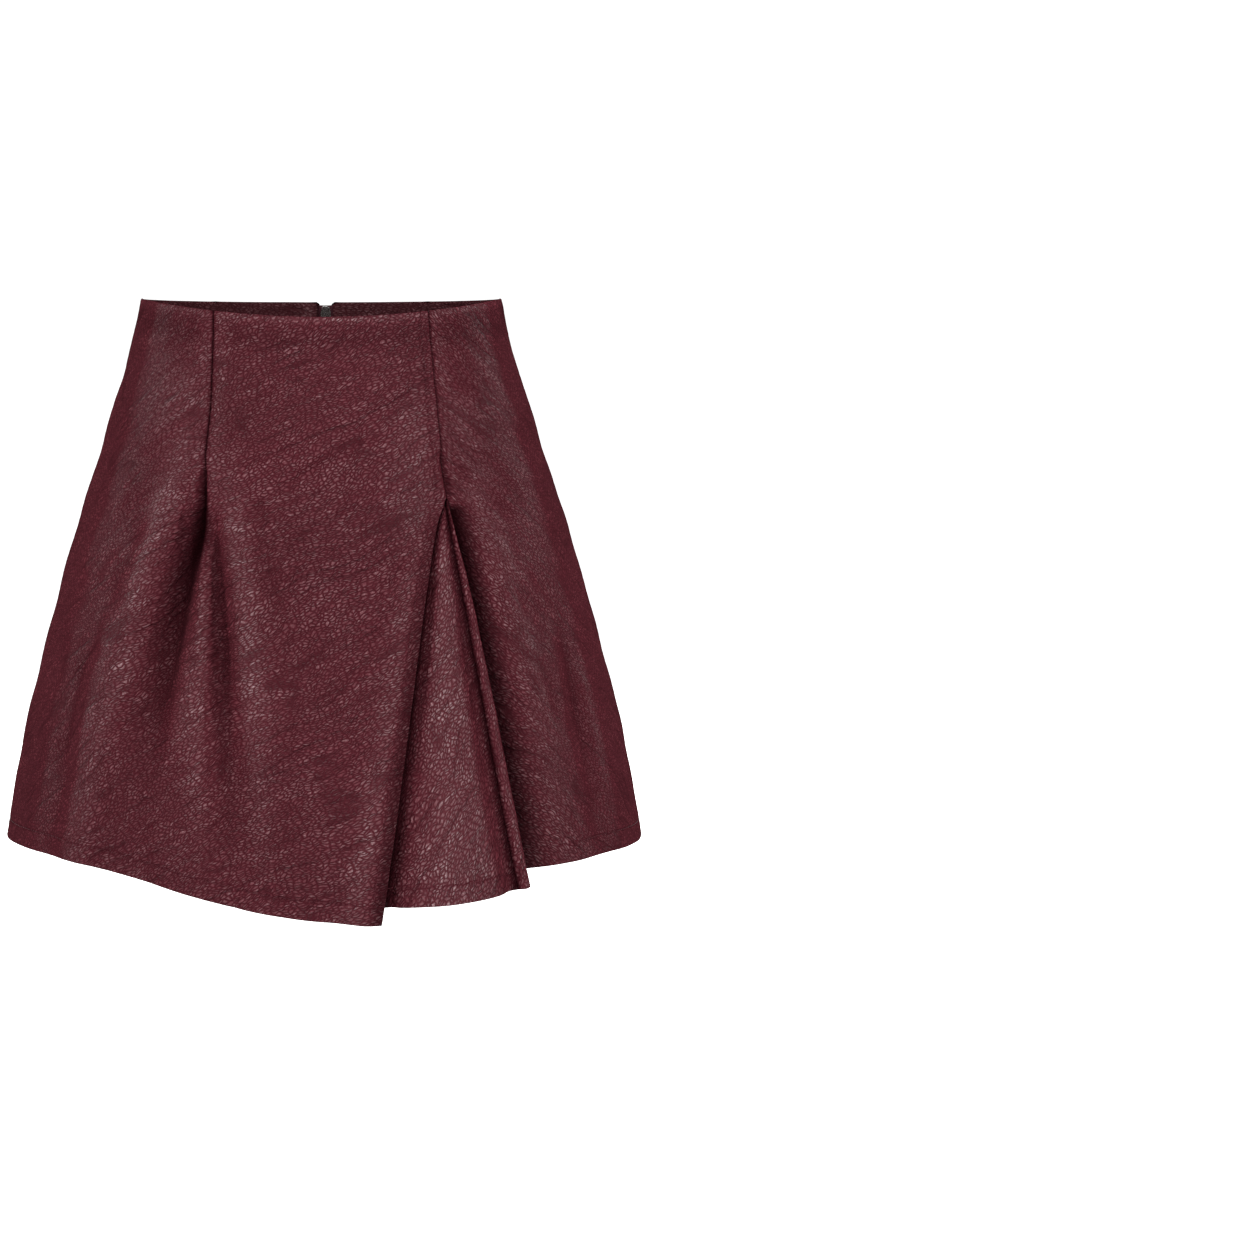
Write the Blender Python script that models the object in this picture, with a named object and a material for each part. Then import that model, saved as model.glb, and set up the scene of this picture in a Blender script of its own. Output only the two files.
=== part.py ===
"""A-line leather skirt, filled out as worn: cut panels, two layered pleats, the back facing and the zip.

Lengths are in millimetres up to the meshes, which are in metres. The origin is the centre of the waist
opening, level with the tops of the side seams. +Z is up, the front faces -Y and +X is the wearer's left.
"drop" is the height below the origin. "bearing" is the angle round the body: 0 at the centre front, a
quarter turn at the wearer's left side seam, a half turn at the centre back. Cloth is laid out by bearing
and drop, and "offset" is how far folds carry it outwards from the plain rings of the body.
"""

import math
from bisect import bisect_right
from collections import namedtuple
from functools import lru_cache

import bmesh
import bpy
from mathutils import Matrix, Vector

MM = 0.001
LEFT_SIDE = math.pi / 2
RIGHT_SIDE_FRONT = -math.pi / 2
RIGHT_SIDE_BACK = 1.5 * math.pi

# Cloth.
CLOTH = 1.4
HEM_TURN_UP = 13.0
HEM_CLOTH = 2.6
SEAM_GAP = 0.3

# Waist and hem lines: how far they dip between the side seams.
WAIST_DIP_FRONT = 12.1
WAIST_DIP_BACK = 2.6
HEM_AT_SIDES = 375.5
HEM_TILT = 3.3
HEM_DIP_FRONT = 31.0
HEM_DIP_BACK = 28.0
HEM_CURVE_FRONT = 6
HEM_CURVE_BACK = 7
NEAR_HEM = 400.0
HEM_LIFT_BY_BACK_PLEAT = 9.0
HEM_LIFT_REACH = 40.0

# Plain rings of the body, from the waist down.
Ring = namedtuple("Ring", "drop half_width front back")
RINGS = (
    Ring(0, 124.8, 90, 90),
    Ring(36, 132.4, 97, 97),
    Ring(72, 143.6, 105, 107),
    Ring(110, 155.2, 113, 117),
    Ring(165, 173.0, 124, 129),
    Ring(235, 192.3, 138, 142),
    Ring(305, 209.8, 151, 153),
    Ring(380, 223.2, 162, 163),
    Ring(420, 229.0, 167, 167),
)

# Lines across the cloth, each a list of sideways places by drop.
Station = namedtuple("Station", "drop x")
FRONT_RIGHT_SEAM = (Station(0, -72.5), Station(60, -74.2), Station(116, -78.6), Station(155, -77.6),
                    Station(215, -73.0), Station(290, -67.0), Station(420, -60.0))
FRONT_LEFT_SEAM = (Station(0, 70.8), Station(96, 78.6), Station(134, 82.5))
FRONT_FREE_EDGE = (Station(126, 82.2), Station(134, 81.6), Station(148, 76.8), Station(188, 69.2),
                   Station(340, 44.8), Station(420, 32.2))
FRONT_BAND_SEAM = (Station(126, 81.0), Station(135, 82.2), Station(165, 86.8), Station(343, 114.8),
                   Station(420, 128.2))
FRONT_BAND_EDGE = (Station(126, 82.2), Station(134, 83.4), Station(188, 95.4), Station(343, 122.6),
                   Station(420, 135.8))
BACK_LEFT_SEAM = (Station(0, 76.0), Station(135, 84.0), Station(160, 85.3), Station(236, 86.2),
                  Station(277, 84.2), Station(318, 80.6), Station(420, 75.0))
BACK_RIGHT_SEAM = (Station(0, -75.6), Station(135, -88.0), Station(160, -90.2), Station(200, -92.4),
                   Station(236, -95.2), Station(277, -99.5), Station(326, -107.5), Station(420, -124.0))
BACK_BAND_SEAM = (Station(160, 2.9), Station(168, 2.5), Station(213, -1.3), Station(354, -18.8),
                  Station(420, -27.6))
BACK_BAND_EDGE = (Station(160, 1.8), Station(168, 1.2), Station(213, -6.4), Station(354, -32.6),
                  Station(420, -42.0))

# Soft folds. Each runs from its top to its low end and swings sideways by bow between them. Its half
# widths towards -X and +X grow from the top down. Its depth, outwards if positive, is full at share
# "full" of the way down, and "left_over" of it remains at the low end.
Fold = namedtuple("Fold", "name face top_drop top_x low_drop low_x bow minus_x plus_x depth full left_over")
FRONT = 1
BACK = -1
FOLDS = (
    Fold("right pleat valley", FRONT, 112, -78.5, 400, -61, 0, 7, 13, -9, 0.22, 0.30),
    Fold("right pleat hollow", FRONT, 122, -82.5, 330, -122, -4, 26, 13, -11.5, 0.38, 0.10),
    Fold("right side ridge", FRONT, 90, -82, 400, -172, -12, 32, 20, 7, 0.40, 0.60),
    Fold("right side slack", FRONT, 220, -158, 400, -190, 0, 18, 18, -3, 0.60, 0.30),
    Fold("centre roll by right seam", FRONT, 95, -62, 330, -46, 0, 15, 20, 4, 0.30, 0.20),
    Fold("centre fullness", FRONT, 120, 0, 400, -8, 0, 48, 48, 4, 0.80, 1.00),
    Fold("left side roll at the pleat", FRONT, 100, 96, 400, 158, 6, 18, 28, 6, 0.30, 0.50),
    Fold("left side slack", FRONT, 190, 156, 400, 196, 0, 18, 18, -4, 0.50, 0.40),
    Fold("back left pleat valley", BACK, 132, 84.2, 400, 76, 3, 13, 7, -9, 0.25, 0.35),
    Fold("back left pleat hollow", BACK, 136, 87, 340, 124, 3, 13, 26, -10.5, 0.38, 0.10),
    Fold("back left slant hollow", BACK, 200, 42, 360, 74, 0, 18, 18, -5, 0.50, 0.30),
    Fold("back left side ridge", BACK, 100, 90, 400, 172, 14, 20, 30, 6, 0.40, 0.60),
    Fold("back left centre roll", BACK, 150, 12, 404, 8, 8, 30, 22, 15, 0.70, 0.90),
    Fold("back right pleat valley", BACK, 140, -88.6, 400, -121, 8, 7, 15, -12, 0.30, 0.30),
    Fold("back right pleat ridge", BACK, 168, -97, 350, -140, 0, 15, 11, 4, 0.50, 0.20),
    Fold("back right side hollow", BACK, 160, -104, 320, -152, -4, 22, 15, -6, 0.40, 0.10),
    Fold("back right side fullness", BACK, 90, -124, 400, -172, 0, 30, 24, 6, 0.40, 0.60),
    Fold("back right centre roll", BACK, 125, -66, 400, -66, 0, 16, 22, 4, 0.35, 0.40),
    Fold("back right swell at the pleat", BACK, 145, -12, 240, -28, 0, 14, 11, 3, 0.35, 0.00),
)
FOLD_TOP_WIDTH = 0.45

# Layered pleats: the cloth that carries the band stands out over the next panel. That panel is carried in
# under it and turns back out behind it, which closes the pleat.
Pleat = namedtuple("Pleat", ("apex", "hem", "towards", "band_out", "under_in", "under_width_top",
                             "under_width_hem", "tuck_start", "tuck"))
FRONT_PLEAT = Pleat(134.0, 395.0, 1, 11.0, -22.0, 9.0, 28.0, 20.0, 36.0)
BACK_PLEAT = Pleat(167.0, 402.0, -1, 6.0, -23.0, 9.0, 28.0, 12.0, 36.0)
FRONT_BAND_START = 135.0
BACK_BAND_START = 169.0
BAND_CREST = 1.6
BAND_RISE = 0.7
UNDER_FALL = 1.7
BACK_LAP_REACH_TOP = 8.0
BACK_LAP_REACH_HEM = 40.0
TUCK_GROWTH = 70.0
TUCK_SEAT = 2.8

# The front panel's free edge, and the underlay that shows beneath it.
FREE_EDGE_OUT = 17.0
FREE_EDGE_REACH = 72.0
FREE_EDGE_RISE = 1.2
FREE_CORNER_X = 36.0
FREE_CORNER_DROP = 4.0
UNDERLAY_START = 128.0
UNDERLAY_DEEP_TOP = 2.1
UNDERLAY_DEEP_HEM = 7.0
UNDERLAY_BELLY = 9.0
UNDERLAY_TUCK_TOP = 3.0
UNDERLAY_TUCK_HEM = 30.0
UNDERLAY_HEM = 399.0
UNDERLAY_HEM_RISE = 8.0

# Back facing, inside the waist.
FACING_DEPTH = 2.9
FACING_CLOTH = 1.0
FACING_TOP_MARGIN = 1.2
FACING_HEIGHT = 34.0
FACING_FROM_ZIP = 5.4

# Zip. Levels are distances out from the cloth's outer face; lengths run down from the slider's top.
ZIP_X = 2.8
Slot = namedtuple("Slot", "drop half")
ZIP_SLOT = (Slot(0, 7.0), Slot(2.6, 6.6), Slot(3.8, 4.9), Slot(5.2, 4.25), Slot(13, 4.25), Slot(20, 2.3),
            Slot(30, 1.75), Slot(154, 1.75), Slot(165, 0.15), Slot(420, 0.15))
CHAIN_HALF = 1.35
CHAIN_OUT = -1.0
CHAIN_THICK = 2.2
CHAIN_END = 153.0
TAPE_OUT = -1.75
TAPE_THICK = 0.8
TAPE_INNER = 1.7
TAPE_OUTER = 11.0
TAPE_TOP = 4.6
TAPE_END = 164.0
STOP_LENGTH = 4.0
STOP_HALF = 1.35
SLIDER_TOP = 4.9
Outline = namedtuple("Outline", "down half")
SLIDER_OUTLINE = (Outline(0, 1.5), Outline(0.7, 2.5), Outline(2.4, 3.1), Outline(5.4, 3.6),
                  Outline(7.6, 3.8), Outline(8.4, 3.4))
SLIDER_FRONT = (-0.65, 1.15)
SLIDER_BACK = (-4.7, -3.5)
SLIDER_POST = (1.2, 4.2, 1.3)
CROWN_HALF = 1.05
CROWN_SPAN = (1.4, 8.3)
CROWN_HEIGHT = 4.2
CROWN_LEG = 1.3
CROWN_EYE_TOP = 3.3
PIVOT_DOWN = 5.9
PIVOT_OUT = 2.25
RING_BAR = 1.2
RING_HALF = 3.15
RING_LENGTH = 7.0
NECK_HALF = 1.4
TAB_START = 15.0
TAB_END = 34.0
TAB_HALF_TOP = 2.6
TAB_HALF_END = 3.05
TAB_THICK = 1.5

# Rows of points down a panel, by shares of its height: closest at the waist, round the pleats' tops and
# where the hem is turned up. Each span runs on from the last one to its end in so many rows.
HEM_START = 0.955
PLEAT_ROWS = 14
TAPE_ROWS = 12
FACING_ROWS = 3
EDGE_STEPS = 4
NORMAL_TURN = 0.002
NORMAL_FALL = 0.4
Span = namedtuple("Span", "end rows")
ROW_SPANS = (Span(0.008, 1), Span(0.02, 1), Span(0.04, 1), Span(0.29, 4), Span(0.50, 10), Span(0.74, 8),
             Span(HEM_START, 5), Span(0.966, 1), Span(1.0, 1))

Look = namedtuple("Look", "colour roughness metallic")
LEATHER = Look((0.095, 0.018, 0.026, 1), 0.42, 0)
LEATHER_INSIDE = Look((0.055, 0.012, 0.017, 1), 0.6, 0)
ZIP_TAPE = Look((0.035, 0.008, 0.012, 1), 0.85, 0)
ZIP_METAL = Look((0.72, 0.71, 0.70, 1), 0.25, 1)
ZIP_COIL = Look((0.05, 0.012, 0.018, 1), 0.5, 0)


# ---------------------------------------------------------------- reading tables

def monotone_slopes(places, values):
    """Slopes for a cubic through the points that never swings past them."""
    rises = [(b - a) / (q - p) for a, b, p, q in zip(values, values[1:], places, places[1:])]
    slopes = [rises[0]]
    for before, after in zip(rises, rises[1:]):
        slopes.append(2 * before * after / (before + after) if before * after > 0 else 0.0)
    slopes.append(rises[-1])
    return slopes


def curve(rows, column):
    """A smooth function of drop through one column of a table."""
    drops = [row.drop for row in rows]
    values = [getattr(row, column) for row in rows]
    slopes = monotone_slopes(drops, values)

    @lru_cache(maxsize=64)
    def read(drop):
        i = min(max(bisect_right(drops, drop) - 1, 0), len(drops) - 2)
        span = drops[i + 1] - drops[i]
        t = min(max((drop - drops[i]) / span, 0.0), 1.0)
        start = (1 + 2 * t) * (1 - t) ** 2 * values[i] + t * (1 - t) ** 2 * span * slopes[i]
        end = t * t * (3 - 2 * t) * values[i + 1] + t * t * (t - 1) * span * slopes[i + 1]
        return start + end

    return read


half_width = curve(RINGS, "half_width")
front_depth = curve(RINGS, "front")
back_depth = curve(RINGS, "back")
slot_half = curve(ZIP_SLOT, "half")
free_edge_x = curve(FRONT_FREE_EDGE, "x")
front_band_edge_x = curve(FRONT_BAND_EDGE, "x")
front_band_seam_x = curve(FRONT_BAND_SEAM, "x")
back_band_edge_x = curve(BACK_BAND_EDGE, "x")
back_band_seam_x = curve(BACK_BAND_SEAM, "x")
front_right_seam_x = curve(FRONT_RIGHT_SEAM, "x")
front_left_seam_x = curve(FRONT_LEFT_SEAM, "x")
back_left_seam_x = curve(BACK_LEFT_SEAM, "x")
back_right_seam_x = curve(BACK_RIGHT_SEAM, "x")


def mix(a, b, share):
    return a + (b - a) * share


def clamp(value):
    return min(max(value, 0.0), 1.0)


def ease(share):
    """0 to 1 with level ends."""
    share = clamp(share)
    return share * share * (3 - 2 * share)


def bell(distance, width):
    return math.exp(-((distance / width) ** 2))


# ---------------------------------------------------------------- the body's rings

def bearing_of(x, drop, face):
    """The bearing of the point x sideways at this drop, on the front or the back."""
    turn = math.asin(max(min(x / half_width(drop), 1.0), -1.0))
    return turn if face == FRONT else math.pi - turn


def sideways(bearing, drop):
    return half_width(drop) * math.sin(bearing)


def ring_depth(bearing, drop):
    return front_depth(drop) if math.cos(bearing) > 0 else back_depth(drop)


@lru_cache(maxsize=64)
def mean_radius(drop):
    return half_width(drop) / 2 + (front_depth(drop) + back_depth(drop)) / 4


def placed(bearing, drop, offset):
    """The point at this bearing and drop, carried outwards by offset."""
    wide = half_width(drop)
    deep = ring_depth(bearing, drop)
    outward = Vector((deep * math.sin(bearing), -wide * math.cos(bearing), 0)).normalized()
    return Vector((wide * math.sin(bearing), -deep * math.cos(bearing), -drop)) + outward * offset


# ---------------------------------------------------------------- folds and layers

FoldHere = namedtuple("FoldHere", "bearing minus_width plus_width face height")


@lru_cache(maxsize=64)
def folds_at(drop):
    """Where each fold that reaches this drop lies, how wide it is and how far it carries the cloth."""
    found = []
    for fold in FOLDS:
        share = clamp((drop - fold.top_drop) / (fold.low_drop - fold.top_drop))
        if share > 0:
            x = mix(fold.top_x, fold.low_x, share) + 4 * fold.bow * share * (1 - share)
            widen = mix(FOLD_TOP_WIDTH, 1.0, share)
            fall = mix(1.0, fold.left_over, ease((share - fold.full) / (1 - fold.full)))
            height = fold.depth * ease(share / fold.full) * fall
            place = bearing_of(x, drop, fold.face)
            found.append(FoldHere(place, fold.minus_x * widen, fold.plus_x * widen, fold.face, height))
    return found


def folds(bearing, drop):
    total = 0.0
    for fold in folds_at(drop):
        turn = (bearing - fold.bearing + math.pi) % (2 * math.pi) - math.pi
        along_x = turn * mean_radius(drop) * fold.face
        total += fold.height * bell(along_x, fold.plus_width if along_x > 0 else fold.minus_width)
    return total


def pleat_share(pleat, drop):
    return clamp((drop - pleat.apex) / (pleat.hem - pleat.apex))


def band_out(pleat, drop, at_apex):
    """How far the band stands out, from behind the cloth at the pleat's apex to full height at the hem."""
    return mix(at_apex, pleat.band_out, pleat_share(pleat, drop) ** BAND_RISE)


def tuck_width(pleat, drop):
    """How far the panel under the band runs on behind it."""
    return pleat.tuck * ease((drop - pleat.apex - pleat.tuck_start) / TUCK_GROWTH)


def tucked_under(pleat, edge_x, over, bearing, drop):
    """Offset of the panel under the band: it sinks towards the band's edge, then turns out behind it."""
    share = pleat_share(pleat, drop)
    past = pleat.towards * (sideways(bearing, drop) - edge_x(drop))
    depth = pleat.under_in * (1 - (1 - share) ** UNDER_FALL)
    sunk = depth * bell(max(past, 0.0), mix(pleat.under_width_top, pleat.under_width_hem, share))
    tuck = tuck_width(pleat, drop)
    if past > 0 or tuck == 0:
        return folds(bearing, drop) + sunk
    return mix(folds(bearing, drop) + sunk, over(bearing, drop) - TUCK_SEAT, ease(-past / tuck))


def free_edge_lift(bearing, drop):
    """Offset of the front panel as it flares out towards its free edge."""
    share = pleat_share(FRONT_PLEAT, drop)
    inward = free_edge_x(drop) - sideways(bearing, drop)
    return FREE_EDGE_OUT * share ** FREE_EDGE_RISE * ease(1 - inward / FREE_EDGE_REACH)


def front_offset(bearing, drop):
    return folds(bearing, drop) + free_edge_lift(bearing, drop)


def band_crest(bearing, drop, seam_x, edge_x):
    """The band's own rounding between its seam and its edge."""
    across = (sideways(bearing, drop) - seam_x(drop)) / (edge_x(drop) - seam_x(drop))
    return BAND_CREST * 4 * clamp(across) * (1 - clamp(across))


def underlay_offset(bearing, drop):
    """Behind the front panel up to its free edge, then over a soft belly out to the band."""
    share = pleat_share(FRONT_PLEAT, drop)
    x = sideways(bearing, drop)
    free_x = free_edge_x(drop)
    deep = mix(UNDERLAY_DEEP_TOP, UNDERLAY_DEEP_HEM, share)
    if x <= free_x:
        return front_offset(bearing, drop) - deep
    across = clamp((x - free_x) / max(front_band_edge_x(drop) - free_x, 1.0))
    at_free = front_offset(bearing_of(free_x, drop, FRONT), drop) - deep
    at_band = folds(bearing, drop) + band_out(FRONT_PLEAT, drop, -UNDERLAY_DEEP_TOP)
    belly = UNDERLAY_BELLY * share * math.sin(math.pi * across) ** 2
    return mix(at_free, at_band, ease(across)) + belly


def left_side_offset(bearing, drop):
    return tucked_under(FRONT_PLEAT, front_band_edge_x, underlay_offset, bearing, drop)


def front_band_offset(bearing, drop):
    return underlay_offset(bearing, drop) + band_crest(bearing, drop, front_band_seam_x, front_band_edge_x)


def back_left_offset(bearing, drop):
    share = pleat_share(BACK_PLEAT, drop)
    past = sideways(bearing, drop) - back_band_edge_x(drop)
    reach = mix(BACK_LAP_REACH_TOP, BACK_LAP_REACH_HEM, share)
    return folds(bearing, drop) + BACK_PLEAT.band_out * share ** BAND_RISE * bell(past, reach)


def back_band_offset(bearing, drop):
    return back_left_offset(bearing, drop) + band_crest(bearing, drop, back_band_seam_x, back_band_edge_x)


def back_right_offset(bearing, drop):
    return tucked_under(BACK_PLEAT, back_band_edge_x, back_left_offset, bearing, drop)


# ---------------------------------------------------------------- waist and hem lines

def waist_drop(bearing):
    across = math.cos(bearing)
    return WAIST_DIP_FRONT * across ** 2 if across > 0 else WAIST_DIP_BACK * -across


def hem_drop(bearing):
    across = math.cos(bearing)
    if across > 0:
        dip = HEM_DIP_FRONT * across ** HEM_CURVE_FRONT
    else:
        dip = -HEM_DIP_BACK * across ** HEM_CURVE_BACK
    return HEM_AT_SIDES + HEM_TILT * math.sin(bearing) + dip


def front_hem(bearing):
    """The hem of the front panel, which hangs a little lower at its free corner."""
    towards_corner = sideways(bearing, NEAR_HEM) / FREE_CORNER_X
    return hem_drop(bearing) + FREE_CORNER_DROP * ease(towards_corner)


def back_right_hem(bearing):
    past = back_band_edge_x(NEAR_HEM) - sideways(bearing, NEAR_HEM)
    return hem_drop(bearing) - HEM_LIFT_BY_BACK_PLEAT * bell(max(past, 0.0), HEM_LIFT_REACH)


def underlay_hem(bearing):
    free_x = free_edge_x(NEAR_HEM)
    across = clamp((sideways(bearing, NEAR_HEM) - free_x) / (front_band_edge_x(NEAR_HEM) - free_x))
    return UNDERLAY_HEM - UNDERLAY_HEM_RISE * across ** 2


# ---------------------------------------------------------------- walls

Wall = namedtuple("Wall", "name look offset start end top hem columns crowd depth cloth hem_cloth gaps")


def row_shares():
    shares = [0.0]
    for span in ROW_SPANS:
        start = shares[-1]
        shares += [mix(start, span.end, (i + 1) / span.rows) for i in range(span.rows)]
    return tuple(shares)


def column_share(u, crowd):
    """Columns crowd towards the wall's start if crowd is over 1, and towards its end if it is under -1."""
    return u ** crowd if crowd > 0 else 1 - (1 - u) ** -crowd


def laid_out(wall, u, v):
    """Bearing and drop of the point at shares u across and v down the wall, found by repeated steps."""
    drop = mix(WAIST_DIP_FRONT, HEM_AT_SIDES, v)
    bearing = 0.0
    for _ in range(EDGE_STEPS):
        gap = SEAM_GAP / 2 / mean_radius(drop)
        start = wall.start(drop) + gap * wall.gaps[0]
        end = wall.end(drop) - gap * wall.gaps[1]
        bearing = mix(start, end, column_share(u, wall.crowd))
        drop = mix(wall.top(bearing), wall.hem(bearing), v)
    return bearing, drop


def face_normal(offset, bearing, drop):
    """Outward normal of the folded surface."""
    turn = NORMAL_TURN
    fall = NORMAL_FALL
    across = placed(bearing + turn, drop, offset(bearing + turn, drop))
    across -= placed(bearing - turn, drop, offset(bearing - turn, drop))
    down = placed(bearing, drop + fall, offset(bearing, drop + fall))
    down -= placed(bearing, drop - fall, offset(bearing, drop - fall))
    return down.cross(across).normalized()


def split_quads(mesh, surface):
    """Splits each quad along the diagonal that lies nearer the folded surface."""
    share = mesh.verts.layers.float_vector["share"]
    for face in mesh.faces[:]:
        corners = face.verts[:]
        u, v, _ = sum((vert[share] for vert in corners), Vector()) / 4
        middle = surface(u, v)
        first = ((corners[0].co + corners[2].co) / 2 - middle).length
        second = ((corners[1].co + corners[3].co) / 2 - middle).length
        ends = (corners[0], corners[2]) if first < second else (corners[1], corners[3])
        bmesh.utils.face_split(face, *ends)


def build_wall(wall, shares):
    """A wall of cloth: a grid laid on the folded surface, then extruded inwards by the thickness."""
    mesh = bmesh.new()
    columns = wall.columns
    rows = len(shares) - 1
    bmesh.ops.create_grid(mesh, x_segments=columns, y_segments=rows, size=0.5)
    inward = mesh.verts.layers.float_vector.new("inward")
    share = mesh.verts.layers.float_vector.new("share")

    def surface(u, v):
        bearing, drop = laid_out(wall, u, v)
        outward = face_normal(wall.offset, bearing, drop)
        return (placed(bearing, drop, wall.offset(bearing, drop)) - outward * wall.depth) * MM

    for vert in mesh.verts:
        u = round((vert.co.x + 0.5) * columns) / columns
        v = shares[rows - round((vert.co.y + 0.5) * rows)]
        bearing, drop = laid_out(wall, u, v)
        normal = face_normal(wall.offset, bearing, drop)
        above_hem = (1 - v) * (wall.hem(bearing) - wall.top(bearing))
        thick = wall.cloth if above_hem > HEM_TURN_UP else wall.hem_cloth
        vert.co = surface(u, v)
        vert[share] = (u, v, 0)
        vert[inward] = -normal * thick * MM
    split_quads(mesh, surface)
    moved = bmesh.ops.extrude_face_region(mesh, geom=mesh.faces[:])["geom"]
    for vert in moved:
        if isinstance(vert, bmesh.types.BMVert):
            vert.co += vert[inward]
    bmesh.ops.recalc_face_normals(mesh, faces=mesh.faces[:])
    return finished(wall.name, mesh, wall.look)


# ---------------------------------------------------------------- objects and materials

def material(name, look):
    made = bpy.data.materials.new(name)
    made.use_nodes = True
    shader = made.node_tree.nodes["Principled BSDF"]
    shader.inputs["Base Color"].default_value = look.colour
    shader.inputs["Roughness"].default_value = look.roughness
    shader.inputs["Metallic"].default_value = look.metallic
    made.diffuse_color = look.colour
    return made


def finished(name, mesh, look):
    """A scene object from a bmesh, shaded smooth but for its sharp edges."""
    data = bpy.data.meshes.new(name)
    mesh.to_mesh(data)
    mesh.free()
    data.shade_smooth()
    data.set_sharp_from_angle(angle=math.radians(40))
    data.materials.append(material(name, look))
    made = bpy.data.objects.new(name, data)
    bpy.context.scene.collection.objects.link(made)
    return made


def clear_scene():
    for old in list(bpy.data.objects):
        bpy.data.objects.remove(old)


# ---------------------------------------------------------------- the skirt's pieces

def on_front(line):
    return lambda drop: bearing_of(line(drop), drop, FRONT)


def on_back(line):
    return lambda drop: bearing_of(line(drop), drop, BACK)


def at(value):
    """The same value all along: a straight edge at one bearing, or a level end at one drop."""
    return lambda _: value


def front_panel_edge(drop):
    """The front panel's edge: the left seam down to the pleat's apex, then the free edge."""
    return front_left_seam_x(drop) if drop < FRONT_PLEAT.apex else free_edge_x(drop)


def under_edge(pleat, edge_x, drop):
    """The edge of the panel that runs in under a band: beside the band at first, then tucked behind it."""
    return edge_x(drop) - pleat.towards * tuck_width(pleat, drop)


def left_side_edge(drop):
    if drop < FRONT_PLEAT.apex:
        return front_left_seam_x(drop)
    return under_edge(FRONT_PLEAT, front_band_edge_x, drop)


def back_left_edge(drop):
    """The back left panel's edge: beside the zip, then down the band's seam."""
    if drop < BACK_PLEAT.apex:
        return ZIP_X + slot_half(drop) - SEAM_GAP / 2
    return back_band_seam_x(drop)


def back_right_edge(drop):
    if drop < BACK_PLEAT.apex:
        return ZIP_X - slot_half(drop) + SEAM_GAP / 2
    return under_edge(BACK_PLEAT, back_band_edge_x, drop)


def underlay_edge(drop):
    share = pleat_share(FRONT_PLEAT, drop)
    return free_edge_x(drop) - mix(UNDERLAY_TUCK_TOP, UNDERLAY_TUCK_HEM, share)


def panels():
    """Every full-height panel, round the body from the front, with the pleats' own pieces."""
    cloth = {"depth": 0.0, "cloth": CLOTH, "hem_cloth": HEM_CLOTH, "gaps": (1, 1), "look": LEATHER}
    full = {"top": waist_drop, **cloth}
    return (
        Wall(name="front_panel", offset=front_offset, start=on_front(front_right_seam_x),
             end=on_front(front_panel_edge), hem=front_hem, columns=14, crowd=1.35, **full),
        Wall(name="front_right_side_panel", offset=folds, start=at(RIGHT_SIDE_FRONT),
             end=on_front(front_right_seam_x), hem=hem_drop, columns=18, crowd=-1.5, **full),
        Wall(name="front_left_side_panel", offset=left_side_offset, start=on_front(left_side_edge),
             end=at(LEFT_SIDE), hem=hem_drop, columns=15, crowd=1.2, **full),
        Wall(name="back_left_side_panel", offset=folds, start=at(LEFT_SIDE), end=on_back(back_left_seam_x),
             hem=hem_drop, columns=17, crowd=-1.5, **full),
        Wall(name="back_left_panel", offset=back_left_offset, start=on_back(back_left_seam_x),
             end=on_back(back_left_edge), hem=hem_drop, columns=11, crowd=1.3, **full),
        Wall(name="back_right_panel", offset=back_right_offset, start=on_back(back_right_edge),
             end=on_back(back_right_seam_x), hem=back_right_hem, columns=13, crowd=-1.2, **full),
        Wall(name="back_right_side_panel", offset=folds, start=on_back(back_right_seam_x),
             end=at(RIGHT_SIDE_BACK), hem=hem_drop, columns=15, crowd=1.6, **full),
    )


def pleat_pieces():
    """The front underlay and the narrow bands that finish the two layered pleats."""
    cloth = {"depth": 0.0, "cloth": CLOTH, "hem_cloth": HEM_CLOTH, "gaps": (1, 1), "look": LEATHER}
    return (
        Wall(name="front_underlay", offset=underlay_offset, start=on_front(underlay_edge),
             end=on_front(front_band_seam_x), top=at(UNDERLAY_START), hem=underlay_hem, columns=8,
             crowd=1.0, **cloth),
        Wall(name="front_band", offset=front_band_offset, start=on_front(front_band_seam_x),
             end=on_front(front_band_edge_x), top=at(FRONT_BAND_START), hem=underlay_hem, columns=3,
             crowd=1.0, **cloth),
        Wall(name="back_band", offset=back_band_offset, start=on_back(back_band_seam_x),
             end=on_back(back_band_edge_x), top=at(BACK_BAND_START), hem=hem_drop, columns=3, crowd=1.0,
             **cloth),
    )


def beside_zip(distance):
    """The line this far from the zip's centre: towards +X if positive."""
    return lambda drop: bearing_of(ZIP_X + distance, drop, BACK)


def facing_hem(bearing):
    return waist_drop(bearing) + FACING_HEIGHT


def facing_top(bearing):
    return waist_drop(bearing) + FACING_TOP_MARGIN


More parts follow.
